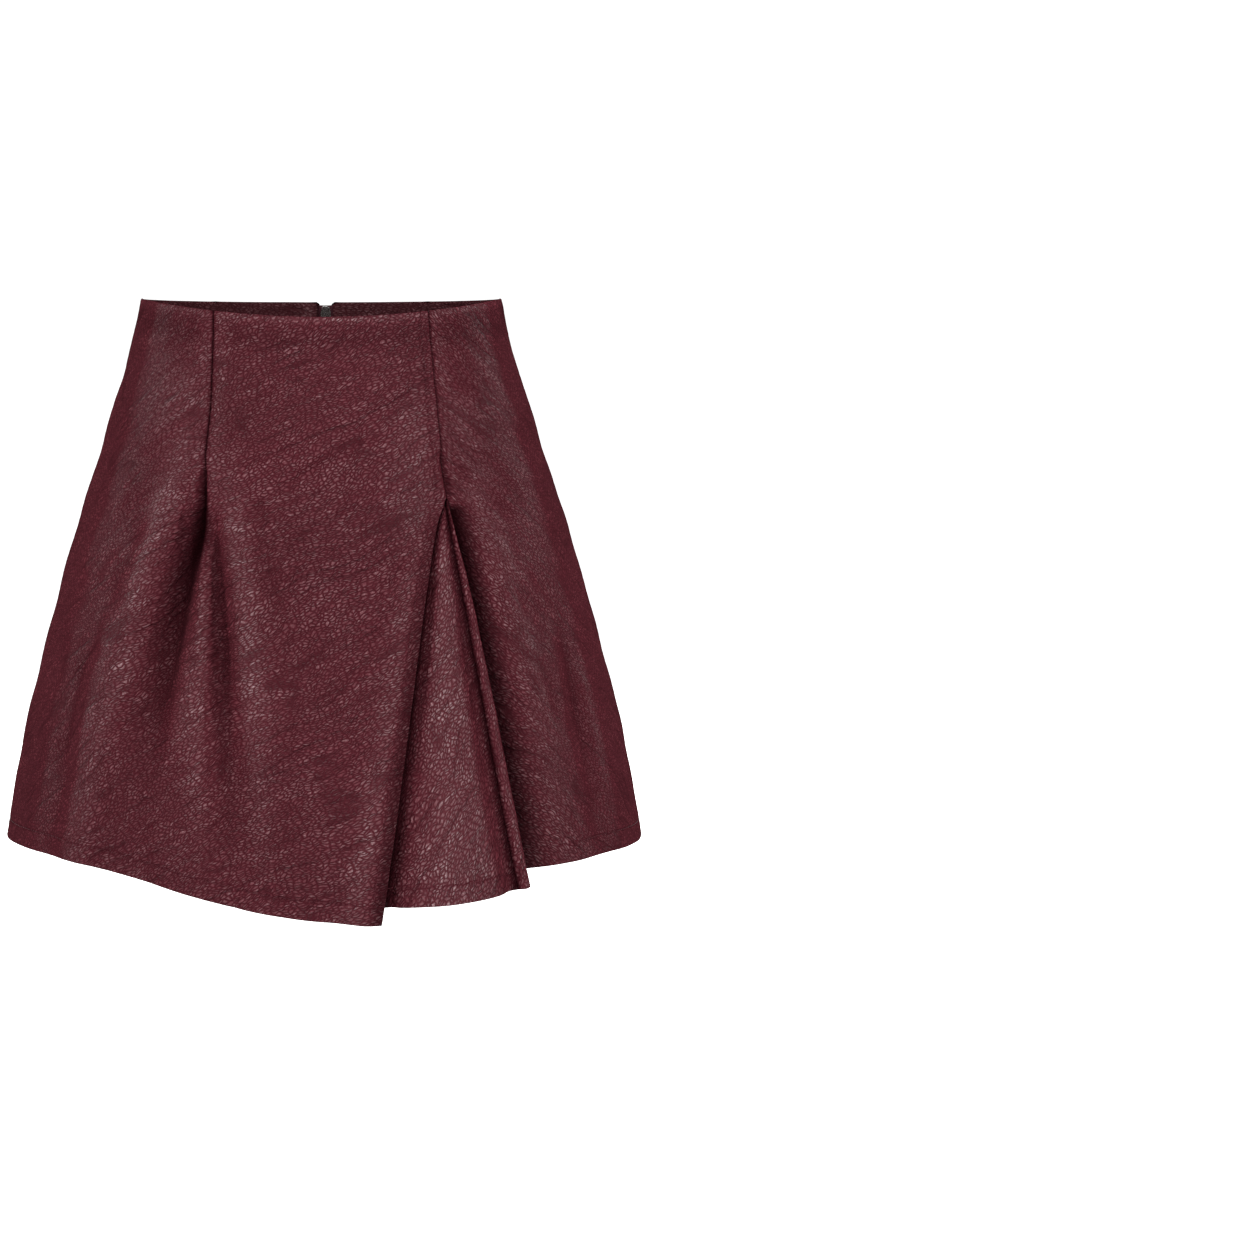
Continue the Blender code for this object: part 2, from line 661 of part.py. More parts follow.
def waist_trim():
    """The facing inside the back waist, and the zip's tapes and chain behind the slot."""
    facing = {"look": LEATHER_INSIDE, "offset": folds, "depth": FACING_DEPTH, "cloth": FACING_CLOTH,
              "hem_cloth": FACING_CLOTH, "top": facing_top, "hem": facing_hem, "columns": 12, "crowd": 1.0,
              "gaps": (1, 1)}
    tape = {"look": ZIP_TAPE, "offset": folds, "depth": -TAPE_OUT, "cloth": TAPE_THICK,
            "hem_cloth": TAPE_THICK, "top": at(TAPE_TOP), "hem": at(TAPE_END), "columns": 1, "crowd": 1.0,
            "gaps": (0, 0)}
    return (
        Wall(name="back_left_facing", start=at(LEFT_SIDE), end=beside_zip(FACING_FROM_ZIP), **facing),
        Wall(name="back_right_facing", start=beside_zip(-FACING_FROM_ZIP), end=at(RIGHT_SIDE_BACK),
             **facing),
        Wall(name="zip_left_tape", start=beside_zip(TAPE_OUTER), end=beside_zip(TAPE_INNER), **tape),
        Wall(name="zip_right_tape", start=beside_zip(-TAPE_INNER), end=beside_zip(-TAPE_OUTER), **tape),
        Wall(name="zip_chain", look=ZIP_COIL, offset=folds, start=beside_zip(CHAIN_HALF),
             end=beside_zip(-CHAIN_HALF), top=at(SLIDER_TOP + SLIDER_POST[1] + 0.4), hem=at(CHAIN_END),
             columns=1, crowd=1.0, depth=-CHAIN_OUT, cloth=CHAIN_THICK, hem_cloth=CHAIN_THICK, gaps=(0, 0)),
    )


# ---------------------------------------------------------------- zip hardware

def zip_frame(drop):
    """Local axes on the zip: +X to the wearer's left, +Y out of the cloth, +Z up along it."""
    bearing = bearing_of(ZIP_X, drop, BACK)
    out = face_normal(folds, bearing, drop)
    out.x = 0
    out.normalize()
    side = Vector((1, 0, 0))
    up = side.cross(out)
    where = placed(bearing, drop, folds(bearing, drop))
    turn = Matrix((side, out, up)).transposed().to_4x4()
    return Matrix.Translation(where * MM) @ turn


def slab(outline, low, high, bevel):
    """A plate from a list of (x, down) corners, between two levels out from the cloth."""
    mesh = bmesh.new()
    corners = [mesh.verts.new(Vector((x, low, -down)) * MM) for x, down in outline]
    face = mesh.faces.new(corners)
    moved = bmesh.ops.extrude_face_region(mesh, geom=[face])["geom"]
    verts = [part for part in moved if isinstance(part, bmesh.types.BMVert)]
    bmesh.ops.translate(mesh, verts=verts, vec=Vector((0, high - low, 0)) * MM)
    bmesh.ops.recalc_face_normals(mesh, faces=mesh.faces[:])
    if bevel:
        outer = [edge for edge in mesh.edges if all(abs(v.co.y - high * MM) < 1e-7 for v in edge.verts)]
        bmesh.ops.bevel(mesh, geom=outer, offset=bevel * MM, offset_type="OFFSET", segments=2, profile=0.5,
                        affect="EDGES", material=-1)
    return mesh


def mirrored_outline(rows):
    """Corners of a symmetrical outline from its half widths, down one side and back up the other."""
    return [(row.half, row.down) for row in rows] + [(-row.half, row.down) for row in reversed(rows)]


def box_outline(half, start, end):
    return [(half, start), (half, end), (-half, end), (-half, start)]


def joined(name, meshes, look, frame):
    """One solid from overlapping pieces, by Boolean unions with hidden helpers."""
    pieces = []
    for i, mesh in enumerate(meshes):
        piece = finished(name if i == 0 else f"{name}_helper_{i}", mesh, look)
        piece.matrix_world = frame
        pieces.append(piece)
    for helper in pieces[1:]:
        helper.hide_render = True
        helper.display_type = "WIRE"
        union = pieces[0].modifiers.new("join", "BOOLEAN")
        union.operation = "UNION"
        union.solver = "EXACT"
        union.object = helper
    return pieces[0]


def crown():
    """The arch on the slider that holds the pull's ring."""
    start, end = CROWN_SPAN
    foot = SLIDER_FRONT[1] - 0.5
    profile = ((start, foot), (start, CROWN_HEIGHT - 1.1), (start + 1.1, CROWN_HEIGHT),
               (end - 1.1, CROWN_HEIGHT), (end, CROWN_HEIGHT - 1.1), (end, foot), (end - CROWN_LEG, foot),
               (end - CROWN_LEG, CROWN_EYE_TOP), (start + CROWN_LEG, CROWN_EYE_TOP),
               (start + CROWN_LEG, foot))
    mesh = bmesh.new()
    corners = [mesh.verts.new(Vector((-CROWN_HALF, out, -down)) * MM) for down, out in profile]
    face = mesh.faces.new(corners)
    moved = bmesh.ops.extrude_face_region(mesh, geom=[face])["geom"]
    verts = [part for part in moved if isinstance(part, bmesh.types.BMVert)]
    bmesh.ops.translate(mesh, verts=verts, vec=Vector((2 * CROWN_HALF, 0, 0)) * MM)
    bmesh.ops.recalc_face_normals(mesh, faces=mesh.faces[:])
    return mesh


def build_slider(frame):
    outline = mirrored_outline(SLIDER_OUTLINE)
    post_start, post_end, post_half = SLIDER_POST
    post_outline = box_outline(post_half, post_start, post_end)
    post = slab(post_outline, SLIDER_BACK[1] - 0.4, SLIDER_FRONT[0] + 0.4, 0)
    back = slab(outline, *SLIDER_BACK, 0)
    return joined("zip_slider", [slab(outline, *SLIDER_FRONT, 0.45), post, back, crown()], ZIP_METAL, frame)


def ring_mesh():
    """The pull's flat ring, from two rounded outlines."""
    start = PIVOT_DOWN - RING_BAR / 2
    outer = rounded_box(RING_HALF, start, start + RING_LENGTH, 1.6)
    inner = rounded_box(RING_HALF - RING_BAR, start + RING_BAR, start + RING_LENGTH - RING_BAR, 0.9)
    mesh = bmesh.new()
    loops = []
    for outline in (outer, inner):
        verts = [mesh.verts.new(Vector((x, PIVOT_OUT - RING_BAR / 2, -down)) * MM) for x, down in outline]
        loops.append([mesh.edges.new((a, b)) for a, b in zip(verts, verts[1:] + verts[:1])])
    bmesh.ops.bridge_loops(mesh, edges=loops[0] + loops[1])
    moved = bmesh.ops.extrude_face_region(mesh, geom=mesh.faces[:])["geom"]
    verts = [part for part in moved if isinstance(part, bmesh.types.BMVert)]
    bmesh.ops.translate(mesh, verts=verts, vec=Vector((0, RING_BAR, 0)) * MM)
    bmesh.ops.recalc_face_normals(mesh, faces=mesh.faces[:])
    return mesh


def rounded_box(half, start, end, radius):
    """Corners of a box whose corners are rounded with four chords each."""
    corners = ((half - radius, start + radius, 0.0), (half - radius, end - radius, 0.5),
               (radius - half, end - radius, 1.0), (radius - half, start + radius, 1.5))
    points = []
    for x, down, quarter in corners:
        for step in range(5):
            turn = math.pi * (quarter + step / 8 - 0.5)
            points.append((x + radius * math.cos(turn), down + radius * math.sin(turn)))
    return points


def build_pull(frame):
    """Ring, neck and tapered tab, hinged where the ring's top bar passes through the crown."""
    neck_start = PIVOT_DOWN - RING_BAR / 2 + RING_LENGTH - 0.6
    low = PIVOT_OUT - TAB_THICK / 2
    high = PIVOT_OUT + TAB_THICK / 2
    neck = slab(box_outline(NECK_HALF, neck_start, TAB_START + 0.8), low + 0.15, high - 0.15, 0)
    tab_rows = (Outline(TAB_START, TAB_HALF_TOP - 0.5), Outline(TAB_START + 0.5, TAB_HALF_TOP),
                Outline(TAB_END - 0.5, TAB_HALF_END), Outline(TAB_END, TAB_HALF_END - 0.5))
    tab = slab(mirrored_outline(tab_rows), low, high, 0.4)
    pull = joined("zip_pull", [ring_mesh(), neck, tab], ZIP_METAL, frame)
    hinge = bpy.data.objects.new("zip_pull_hinge", None)
    hinge.matrix_world = frame @ Matrix.Translation(Vector((0, PIVOT_OUT, -PIVOT_DOWN)) * MM)
    bpy.context.scene.collection.objects.link(hinge)
    for piece in [pull] + [mod.object for mod in pull.modifiers]:
        piece.parent = hinge
        piece.matrix_parent_inverse = hinge.matrix_world.inverted()
    return pull


def build_bottom_stop():
    frame = zip_frame(CHAIN_END + 0.4)
    outline = box_outline(STOP_HALF, 0, STOP_LENGTH)
    stop = finished("zip_bottom_stop", slab(outline, CHAIN_OUT - CHAIN_THICK, TAPE_OUT, 0.3), ZIP_METAL)
    stop.matrix_world = frame
    return stop


def main():
    clear_scene()
    shares = row_shares()
    pleat_shares = tuple(i / PLEAT_ROWS * HEM_START for i in range(PLEAT_ROWS + 1)) + shares[-2:]
    tape_shares = tuple(i / TAPE_ROWS for i in range(TAPE_ROWS + 1))
    facing_shares = tuple(i / FACING_ROWS for i in range(FACING_ROWS + 1))
    for wall in panels():
        build_wall(wall, shares)
    for wall in pleat_pieces():
        build_wall(wall, pleat_shares)
    for wall in waist_trim():
        build_wall(wall, facing_shares if "facing" in wall.name else tape_shares)
    frame = zip_frame(SLIDER_TOP)
    build_slider(frame)
    build_pull(frame)
    build_bottom_stop()


main()
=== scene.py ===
"""Dresses the leather skirt: panels with creases, seams and stitches, the zip, and a plain studio.

Lengths named here are in millimetres up to the meshes, which are in metres, as are the sidebar's settings.
The origin is the centre of the waist opening. +Z is up, the front faces -Y and +X is the wearer's left.
"drop" is the height below the origin, "bearing" the angle round the body, 0 at the centre front, and "offset"
how far folds carry the cloth out from the body's plain rings. A "share" runs from 0 to 1.
"""

import math
from collections import namedtuple

import bmesh
import bpy
import numpy as np
from bpy.props import FloatProperty, FloatVectorProperty, PointerProperty
from mathutils import Matrix, Vector


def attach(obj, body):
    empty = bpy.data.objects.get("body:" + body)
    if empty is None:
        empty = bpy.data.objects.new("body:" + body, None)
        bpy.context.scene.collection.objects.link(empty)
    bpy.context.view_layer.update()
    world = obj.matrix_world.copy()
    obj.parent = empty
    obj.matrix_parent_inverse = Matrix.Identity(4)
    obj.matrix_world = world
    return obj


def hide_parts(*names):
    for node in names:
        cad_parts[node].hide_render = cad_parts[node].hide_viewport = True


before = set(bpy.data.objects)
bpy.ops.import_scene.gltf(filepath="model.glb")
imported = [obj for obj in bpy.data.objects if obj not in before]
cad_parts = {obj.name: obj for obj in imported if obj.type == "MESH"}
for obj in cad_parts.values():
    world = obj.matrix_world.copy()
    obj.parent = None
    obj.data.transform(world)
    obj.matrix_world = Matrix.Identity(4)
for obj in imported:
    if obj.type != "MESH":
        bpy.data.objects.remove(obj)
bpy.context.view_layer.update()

bl_info = {
    "name": "Leather skirt",
    "version": (1, 0, 0),
    "blender": (4, 5, 0),
    "location": "View3D > Sidebar > Skirt",
    "description": "Builds the leather skirt's panels, stitching, zip and studio round its packed solids",
    "category": "Object",
}

MM = 0.001
TINY = 1e-6
FRONT = 1
BACK = -1
LEFT_SIDE = math.pi / 2
RIGHT_SIDE_FRONT = -math.pi / 2
RIGHT_SIDE_BACK = 1.5 * math.pi

# ---------------------------------------------------------------- shape tables, as in the solids

CLOTH = 1.4
HEM_CLOTH = 2.6
WAIST_DIP_FRONT = 12.1
WAIST_DIP_BACK = 2.6
HEM_AT_SIDES = 375.5
HEM_TILT = 3.3
HEM_DIP_FRONT = 31.0
HEM_DIP_BACK = 28.0
HEM_CURVE_FRONT = 6
HEM_CURVE_BACK = 7
NEAR_HEM = 400.0
HEM_LIFT_BY_BACK_PLEAT = 9.0
HEM_LIFT_REACH = 40.0


def table(kind, faces):
    """The rows of a table that is laid out by face."""
    return tuple(kind(face, *row) for face, rows in faces.items() for row in rows)


# Each fold runs from its top to its low end, swings sideways by bow between them, and is full at share "full"
# of the way down.
Fold = namedtuple("Fold", "face top_drop top_x low_drop low_x bow minus_x plus_x depth full left_over")
FOLDS = table(Fold, {
    FRONT: (
        (112, -78.5, 400, -61, 0, 12, 16, -8.4, 0.26, 0.30),
        (122, -82.5, 330, -122, -4, 26, 13, -11.5, 0.38, 0.10),
        (90, -82, 400, -172, -12, 32, 20, 7, 0.40, 0.60),
        (220, -158, 400, -190, 0, 18, 18, -3, 0.60, 0.30),
        (95, -62, 330, -46, 0, 15, 20, 4, 0.30, 0.20),
        (120, 0, 400, -8, 0, 48, 48, 4, 0.80, 1.00),
        (100, 96, 400, 158, 6, 18, 28, 6, 0.30, 0.50),
        (190, 156, 400, 196, 0, 18, 18, -4, 0.50, 0.40),
    ),
    BACK: (
        (132, 84.2, 400, 76, 3, 13, 7, -9, 0.25, 0.35),
        (136, 87, 340, 124, 3, 13, 26, -10.5, 0.38, 0.10),
        (200, 42, 360, 74, 0, 18, 18, -5, 0.50, 0.30),
        (100, 90, 400, 172, 14, 20, 30, 6, 0.40, 0.60),
        (150, 12, 404, 8, 8, 30, 22, 15, 0.70, 0.90),
        (140, -88.6, 400, -121, 8, 7, 15, -12, 0.30, 0.30),
        (168, -97, 350, -140, 0, 15, 11, 4, 0.50, 0.20),
        (160, -104, 320, -152, -4, 22, 15, -6, 0.40, 0.10),
        (90, -124, 400, -172, 0, 30, 24, 6, 0.40, 0.60),
        (125, -66, 400, -66, 0, 16, 22, 4, 0.35, 0.40),
        (145, -12, 240, -28, 0, 14, 11, 3, 0.35, 0.00),
    ),
})
FOLD_TOP_WIDTH = 0.45

# At a pleat the cloth with the band stands out over the next panel, which goes in under it and turns back out
# behind it.
Pleat = namedtuple("Pleat", ("apex", "hem", "towards", "band_out", "under_in", "under_width_top",
                             "under_width_hem", "tuck_start", "tuck"))
FRONT_PLEAT = Pleat(134.0, 395.0, 1, 11.0, -22.0, 9.0, 28.0, 20.0, 36.0)
BACK_PLEAT = Pleat(167.0, 402.0, -1, 6.0, -23.0, 9.0, 28.0, 12.0, 36.0)
FRONT_RIGHT_RELEASED = 118.0
BACK_LEFT_RELEASED = 132.0
BACK_RIGHT_RELEASED = 136.0
FRONT_BAND_START = 135.0
BACK_BAND_START = 169.0
BAND_CREST = 1.6
BAND_RISE = 0.7
UNDER_FALL = 1.7
BACK_LAP_REACH_TOP = 8.0
BACK_LAP_REACH_HEM = 40.0
TUCK_GROWTH = 70.0
TUCK_SEAT = 2.8
EDGE_GROOVE = 5.0
EDGE_GROOVE_WIDTH = 7.0
EDGE_GROOVE_FULL_AT = 0.12
FREE_EDGE_OUT = 17.0
FREE_EDGE_REACH = 72.0
FREE_EDGE_RISE = 1.2
FREE_EDGE_ROLL = 2.4
FREE_EDGE_ROLL_REACH = 13.0
FREE_EDGE_ROLL_FULL_AT = 0.2
FREE_CORNER_X = 36.0
FREE_CORNER_DROP = 4.0
UNDERLAY_START = 128.0
UNDERLAY_DEEP_TOP = 2.1
UNDERLAY_DEEP_HEM = 7.0
UNDERLAY_BELLY = 9.0
UNDERLAY_DIP = 5.0
UNDERLAY_DIP_REACH = 5.0
UNDERLAY_DIP_SHARE = 0.13
UNDERLAY_TUCK_TOP = 3.0
UNDERLAY_TUCK_HEM = 30.0
UNDERLAY_HEM = 399.0
UNDERLAY_HEM_RISE = 8.0

FACING_CLOTH = 1.0
FACING_TOP_MARGIN = 1.2
FACING_HEIGHT = 34.0
FACING_FROM_ZIP = 5.4
FACING_DEPTH = 1.5
FACING_DEPTH_AT_ZIP = 2.8
FACING_DEEP_WITHIN = 10.0
FACING_DEEP_FADE = 25.0

ZIP_X = 2.8
SEAM_HALF = 0.15
CHAIN_START = 9.5
CHAIN_END = 153.0
CHAIN_DEPTH = 1.9
TAPE_DEPTH = 1.75
TAPE_THICK = 0.8
TAPE_INNER = 1.7
TAPE_OUTER = 11.0
TAPE_TOP = 4.6
TAPE_END = 164.0


def line(*stations):
    """A smooth function of drop through (drop, value) stations that never swings past them."""
    drops, values = np.array(stations, float).T
    rises = np.diff(values) / np.diff(drops)
    product = rises[:-1] * rises[1:]
    total = rises[:-1] + rises[1:]
    middle = np.where(product > 0, 2 * product / np.where(product > 0, total, 1.0), 0.0)
    slopes = np.concatenate([rises[:1], middle, rises[-1:]])

    def read(drop):
        drop = np.asarray(drop, float)
        i = np.clip(np.searchsorted(drops, drop, side="right") - 1, 0, len(drops) - 2)
        span = drops[i + 1] - drops[i]
        t = np.clip((drop - drops[i]) / span, 0.0, 1.0)
        start = (1 + 2 * t) * (1 - t) ** 2 * values[i] + t * (1 - t) ** 2 * span * slopes[i]
        end = t * t * (3 - 2 * t) * values[i + 1] + t * t * (t - 1) * span * slopes[i + 1]
        return start + end

    return read


# The body's rings, and the lines across the cloth, each by drop.
half_width = line((0, 124.8), (36, 132.4), (72, 143.6), (110, 155.2), (165, 173), (235, 192.3), (305, 209.8),
                  (380, 223.2), (420, 229))
front_depth = line((0, 90), (36, 97), (72, 105), (110, 113), (165, 124), (235, 138), (305, 151), (380, 162),
                   (420, 167))
back_depth = line((0, 90), (36, 97), (72, 107), (110, 117), (165, 129), (235, 142), (305, 153), (380, 163),
                  (420, 167))
front_right_seam_x = line((0, -72.5), (60, -74.2), (116, -78.6), (155, -77.6), (215, -73), (290, -67),
                          (420, -60))
front_left_seam_x = line((0, 70.8), (96, 78.6), (134, 82.5))
free_edge_x = line((126, 82.2), (134, 81.6), (148, 76.8), (188, 69.2), (340, 44.8), (420, 32.2))
front_band_seam_x = line((126, 81), (135, 82.2), (165, 86.8), (343, 114.8), (420, 128.2))
front_band_edge_x = line((126, 82.2), (134, 83.4), (188, 95.4), (343, 122.6), (420, 135.8))
back_left_seam_x = line((0, 76), (135, 84), (160, 85.3), (236, 86.2), (277, 84.2), (318, 80.6), (420, 75))
back_right_seam_x = line((0, -75.6), (135, -88), (160, -90.2), (200, -92.4), (236, -95.2), (277, -99.5),
                         (326, -107.5), (420, -124))
back_band_seam_x = line((160, 2.9), (168, 2.5), (213, -1.3), (354, -18.8), (420, -27.6))
back_band_edge_x = line((160, 1.8), (168, 1.2), (213, -6.4), (354, -32.6), (420, -42))

# Painted shade in the folds below the seams: where each lies, how dark it is and how wide.
wedge_x = line((70, -75.2), (112, -79.0), (138, -80.5), (151, -83), (164, -87), (184, -93.8), (211, -101),
               (244, -108.4), (284, -113.7), (340, -120))
wedge_dark = line((92, 0), (116, 0.8), (134, 1.0), (164, 1.0), (184, 0.86), (211, 0.64), (244, 0.46),
                  (284, 0.3), (340, 0))
wedge_left_width = line((112, 1.4), (134, 4.5), (151, 10), (184, 14), (250, 16))
wedge_right_width = line((112, 1.4), (134, 3), (151, 7), (184, 11), (250, 12))
back_left_wedge_x = line((90, 80.6), (135, 85.5), (160, 88.5), (186, 93.5), (240, 104))
back_right_wedge_x = line((90, -84.6), (135, -89.5), (160, -93), (188, -98.6), (240, -106))
BACK_WEDGE = (104.0, 144.0, 168.0, 218.0)
BACK_WEDGE_WIDTHS = (2.0, 7.5)
BACK_WEDGE_WIDENS = (120.0, 170.0)

# Half the zip slot's width.
slot_half = line((0, 7), (2.6, 6.6), (3.8, 4.9), (5.2, 4.25), (13, 4.25), (20, 2.3), (30, 1.75), (154, 1.75),
                 (165, SEAM_HALF), (420, SEAM_HALF))


def mix(a, b, share):
    return a + (b - a) * share


def clamp(value):
    return np.clip(value, 0.0, 1.0)


def ease(share):
    """0 to 1 with level ends."""
    share = clamp(share)
    return share * share * (3 - 2 * share)


def bell(distance, width):
    return np.exp(-((distance / width) ** 2))


# ---------------------------------------------------------------- the body's rings

def bearing_of(x, drop, face):
    turn = np.arcsin(np.clip(x / half_width(drop), -1.0, 1.0))
    return turn if face == FRONT else math.pi - turn


def sideways(bearing, drop):
    return half_width(drop) * np.sin(bearing)


def mean_radius(drop):
    return half_width(drop) / 2 + (front_depth(drop) + back_depth(drop)) / 4


def placed(bearing, drop, offset):
    """Points at these bearings and drops, carried outwards by offset."""
    wide = half_width(drop)
    deep = np.where(np.cos(bearing) > 0, front_depth(drop), back_depth(drop))
    out_x = deep * np.sin(bearing)
    out_y = -wide * np.cos(bearing)
    length = np.hypot(out_x, out_y)
    x = wide * np.sin(bearing) + out_x / length * offset
    y = -deep * np.cos(bearing) + out_y / length * offset
    return np.stack([x, y, -drop + 0 * x], axis=-1)


# ---------------------------------------------------------------- folds and layers

def folds(bearing, drop):
    total = np.zeros(np.shape(bearing + drop))
    radius = mean_radius(drop)
    for fold in FOLDS:
        share = clamp((drop - fold.top_drop) / (fold.low_drop - fold.top_drop))
        x = mix(fold.top_x, fold.low_x, share) + 4 * fold.bow * share * (1 - share)
        widen = mix(FOLD_TOP_WIDTH, 1.0, share)
        fall = mix(1.0, fold.left_over, ease((share - fold.full) / (1 - fold.full)))
        height = fold.depth * ease(share / fold.full) * fall
        turn = (bearing - bearing_of(x, drop, fold.face) + math.pi) % (2 * math.pi) - math.pi
        along_x = turn * radius * fold.face
        width = np.where(along_x > 0, fold.plus_x, fold.minus_x) * widen
        total = total + np.where(share > 0, height * bell(along_x, width), 0.0)
    return total


def pleat_share(pleat, drop):
    return clamp((drop - pleat.apex) / (pleat.hem - pleat.apex))


def band_out(pleat, drop, at_apex):
    return mix(at_apex, pleat.band_out, pleat_share(pleat, drop) ** BAND_RISE)


def tuck_width(pleat, drop):
    return pleat.tuck * ease((drop - pleat.apex - pleat.tuck_start) / TUCK_GROWTH)


def tucked_under(pleat, edge_x, over, bearing, drop):
    """The panel under the band sinks towards the band's edge, then turns out behind the layer over it."""
    share = pleat_share(pleat, drop)
    past = pleat.towards * (sideways(bearing, drop) - edge_x(drop))
    depth = pleat.under_in * (1 - (1 - share) ** UNDER_FALL)
    width = mix(pleat.under_width_top, pleat.under_width_hem, share)
    past_edge = np.maximum(past, 0.0)
    plain = folds(bearing, drop) + depth * bell(past_edge, width)
    plain = plain - EDGE_GROOVE * ease(share / EDGE_GROOVE_FULL_AT) * bell(past_edge, EDGE_GROOVE_WIDTH)
    tuck = tuck_width(pleat, drop)
    behind = mix(plain, over(bearing, drop) - TUCK_SEAT, ease(-past / np.maximum(tuck, TINY)))
    return np.where((past > 0) | (tuck <= 0), plain, behind)


def front_offset(bearing, drop):
    inward = free_edge_x(drop) - sideways(bearing, drop)
    share = pleat_share(FRONT_PLEAT, drop)
    roll = FREE_EDGE_ROLL * ease(share / FREE_EDGE_ROLL_FULL_AT) * (1 - ease(inward / FREE_EDGE_ROLL_REACH))
    out = FREE_EDGE_OUT * share ** FREE_EDGE_RISE * ease(1 - inward / FREE_EDGE_REACH)
    return folds(bearing, drop) + out - roll


def band_crest(bearing, drop, seam_x, edge_x):
    across = clamp((sideways(bearing, drop) - seam_x(drop)) / (edge_x(drop) - seam_x(drop)))
    return BAND_CREST * 4 * across * (1 - across)


def underlay_offset(bearing, drop):
    """Behind the front panel up to its free edge, then over a soft belly out to the band."""
    share = pleat_share(FRONT_PLEAT, drop)
    x = sideways(bearing, drop)
    free_x = free_edge_x(drop)
    deep = mix(UNDERLAY_DEEP_TOP, UNDERLAY_DEEP_HEM, share)
    across = clamp((x - free_x) / np.maximum(front_band_edge_x(drop) - free_x, 1.0))
    at_free = front_offset(bearing_of(free_x, drop, FRONT), drop) - deep
    at_band = folds(bearing, drop) + band_out(FRONT_PLEAT, drop, -UNDERLAY_DEEP_TOP)
    belly = UNDERLAY_BELLY * share * np.sin(math.pi * across) ** 2
    shown = np.maximum(front_band_seam_x(drop) - free_x, 1.0)
    reach = np.minimum(UNDERLAY_DIP_REACH, UNDERLAY_DIP_SHARE * shown)
    past_free = x - free_x
    dips = ease(past_free / reach) * bell(past_free - reach, reach) + bell(past_free - shown + reach, reach)
    dips = UNDERLAY_DIP * share ** 0.5 * dips
    over = mix(at_free, at_band, ease(across)) + belly - dips
    return np.where(x <= free_x, front_offset(bearing, drop) - deep, over)


def left_side_offset(bearing, drop):
    return tucked_under(FRONT_PLEAT, front_band_edge_x, underlay_offset, bearing, drop)


def front_band_offset(bearing, drop):
    return underlay_offset(bearing, drop) + band_crest(bearing, drop, front_band_seam_x, front_band_edge_x)


def back_left_offset(bearing, drop):
    share = pleat_share(BACK_PLEAT, drop)
    past = sideways(bearing, drop) - back_band_edge_x(drop)
    reach = mix(BACK_LAP_REACH_TOP, BACK_LAP_REACH_HEM, share)
    return folds(bearing, drop) + BACK_PLEAT.band_out * share ** BAND_RISE * bell(past, reach)


def back_band_offset(bearing, drop):
    return back_left_offset(bearing, drop) + band_crest(bearing, drop, back_band_seam_x, back_band_edge_x)


def back_right_offset(bearing, drop):
    return tucked_under(BACK_PLEAT, back_band_edge_x, back_left_offset, bearing, drop)


# ---------------------------------------------------------------- waist and hem lines

def waist_drop(bearing):
    across = np.cos(bearing)
    return np.where(across > 0, WAIST_DIP_FRONT * across ** 2, -WAIST_DIP_BACK * across)


def hem_drop(bearing):
    across = np.cos(bearing)
    front = HEM_DIP_FRONT * across ** HEM_CURVE_FRONT
    back = -HEM_DIP_BACK * across ** HEM_CURVE_BACK
    dip = np.where(across > 0, front, back)
    return HEM_AT_SIDES + HEM_TILT * np.sin(bearing) + dip


def front_hem(bearing):
    return hem_drop(bearing) + FREE_CORNER_DROP * ease(sideways(bearing, NEAR_HEM) / FREE_CORNER_X)


def back_right_hem(bearing):
    past = back_band_edge_x(NEAR_HEM) - sideways(bearing, NEAR_HEM)
    return hem_drop(bearing) - HEM_LIFT_BY_BACK_PLEAT * bell(np.maximum(past, 0.0), HEM_LIFT_REACH)


def underlay_hem(bearing):
    free_x = free_edge_x(NEAR_HEM)
    across = clamp((sideways(bearing, NEAR_HEM) - free_x) / (front_band_edge_x(NEAR_HEM) - free_x))
    return UNDERLAY_HEM - UNDERLAY_HEM_RISE * across ** 2


# ---------------------------------------------------------------- creases

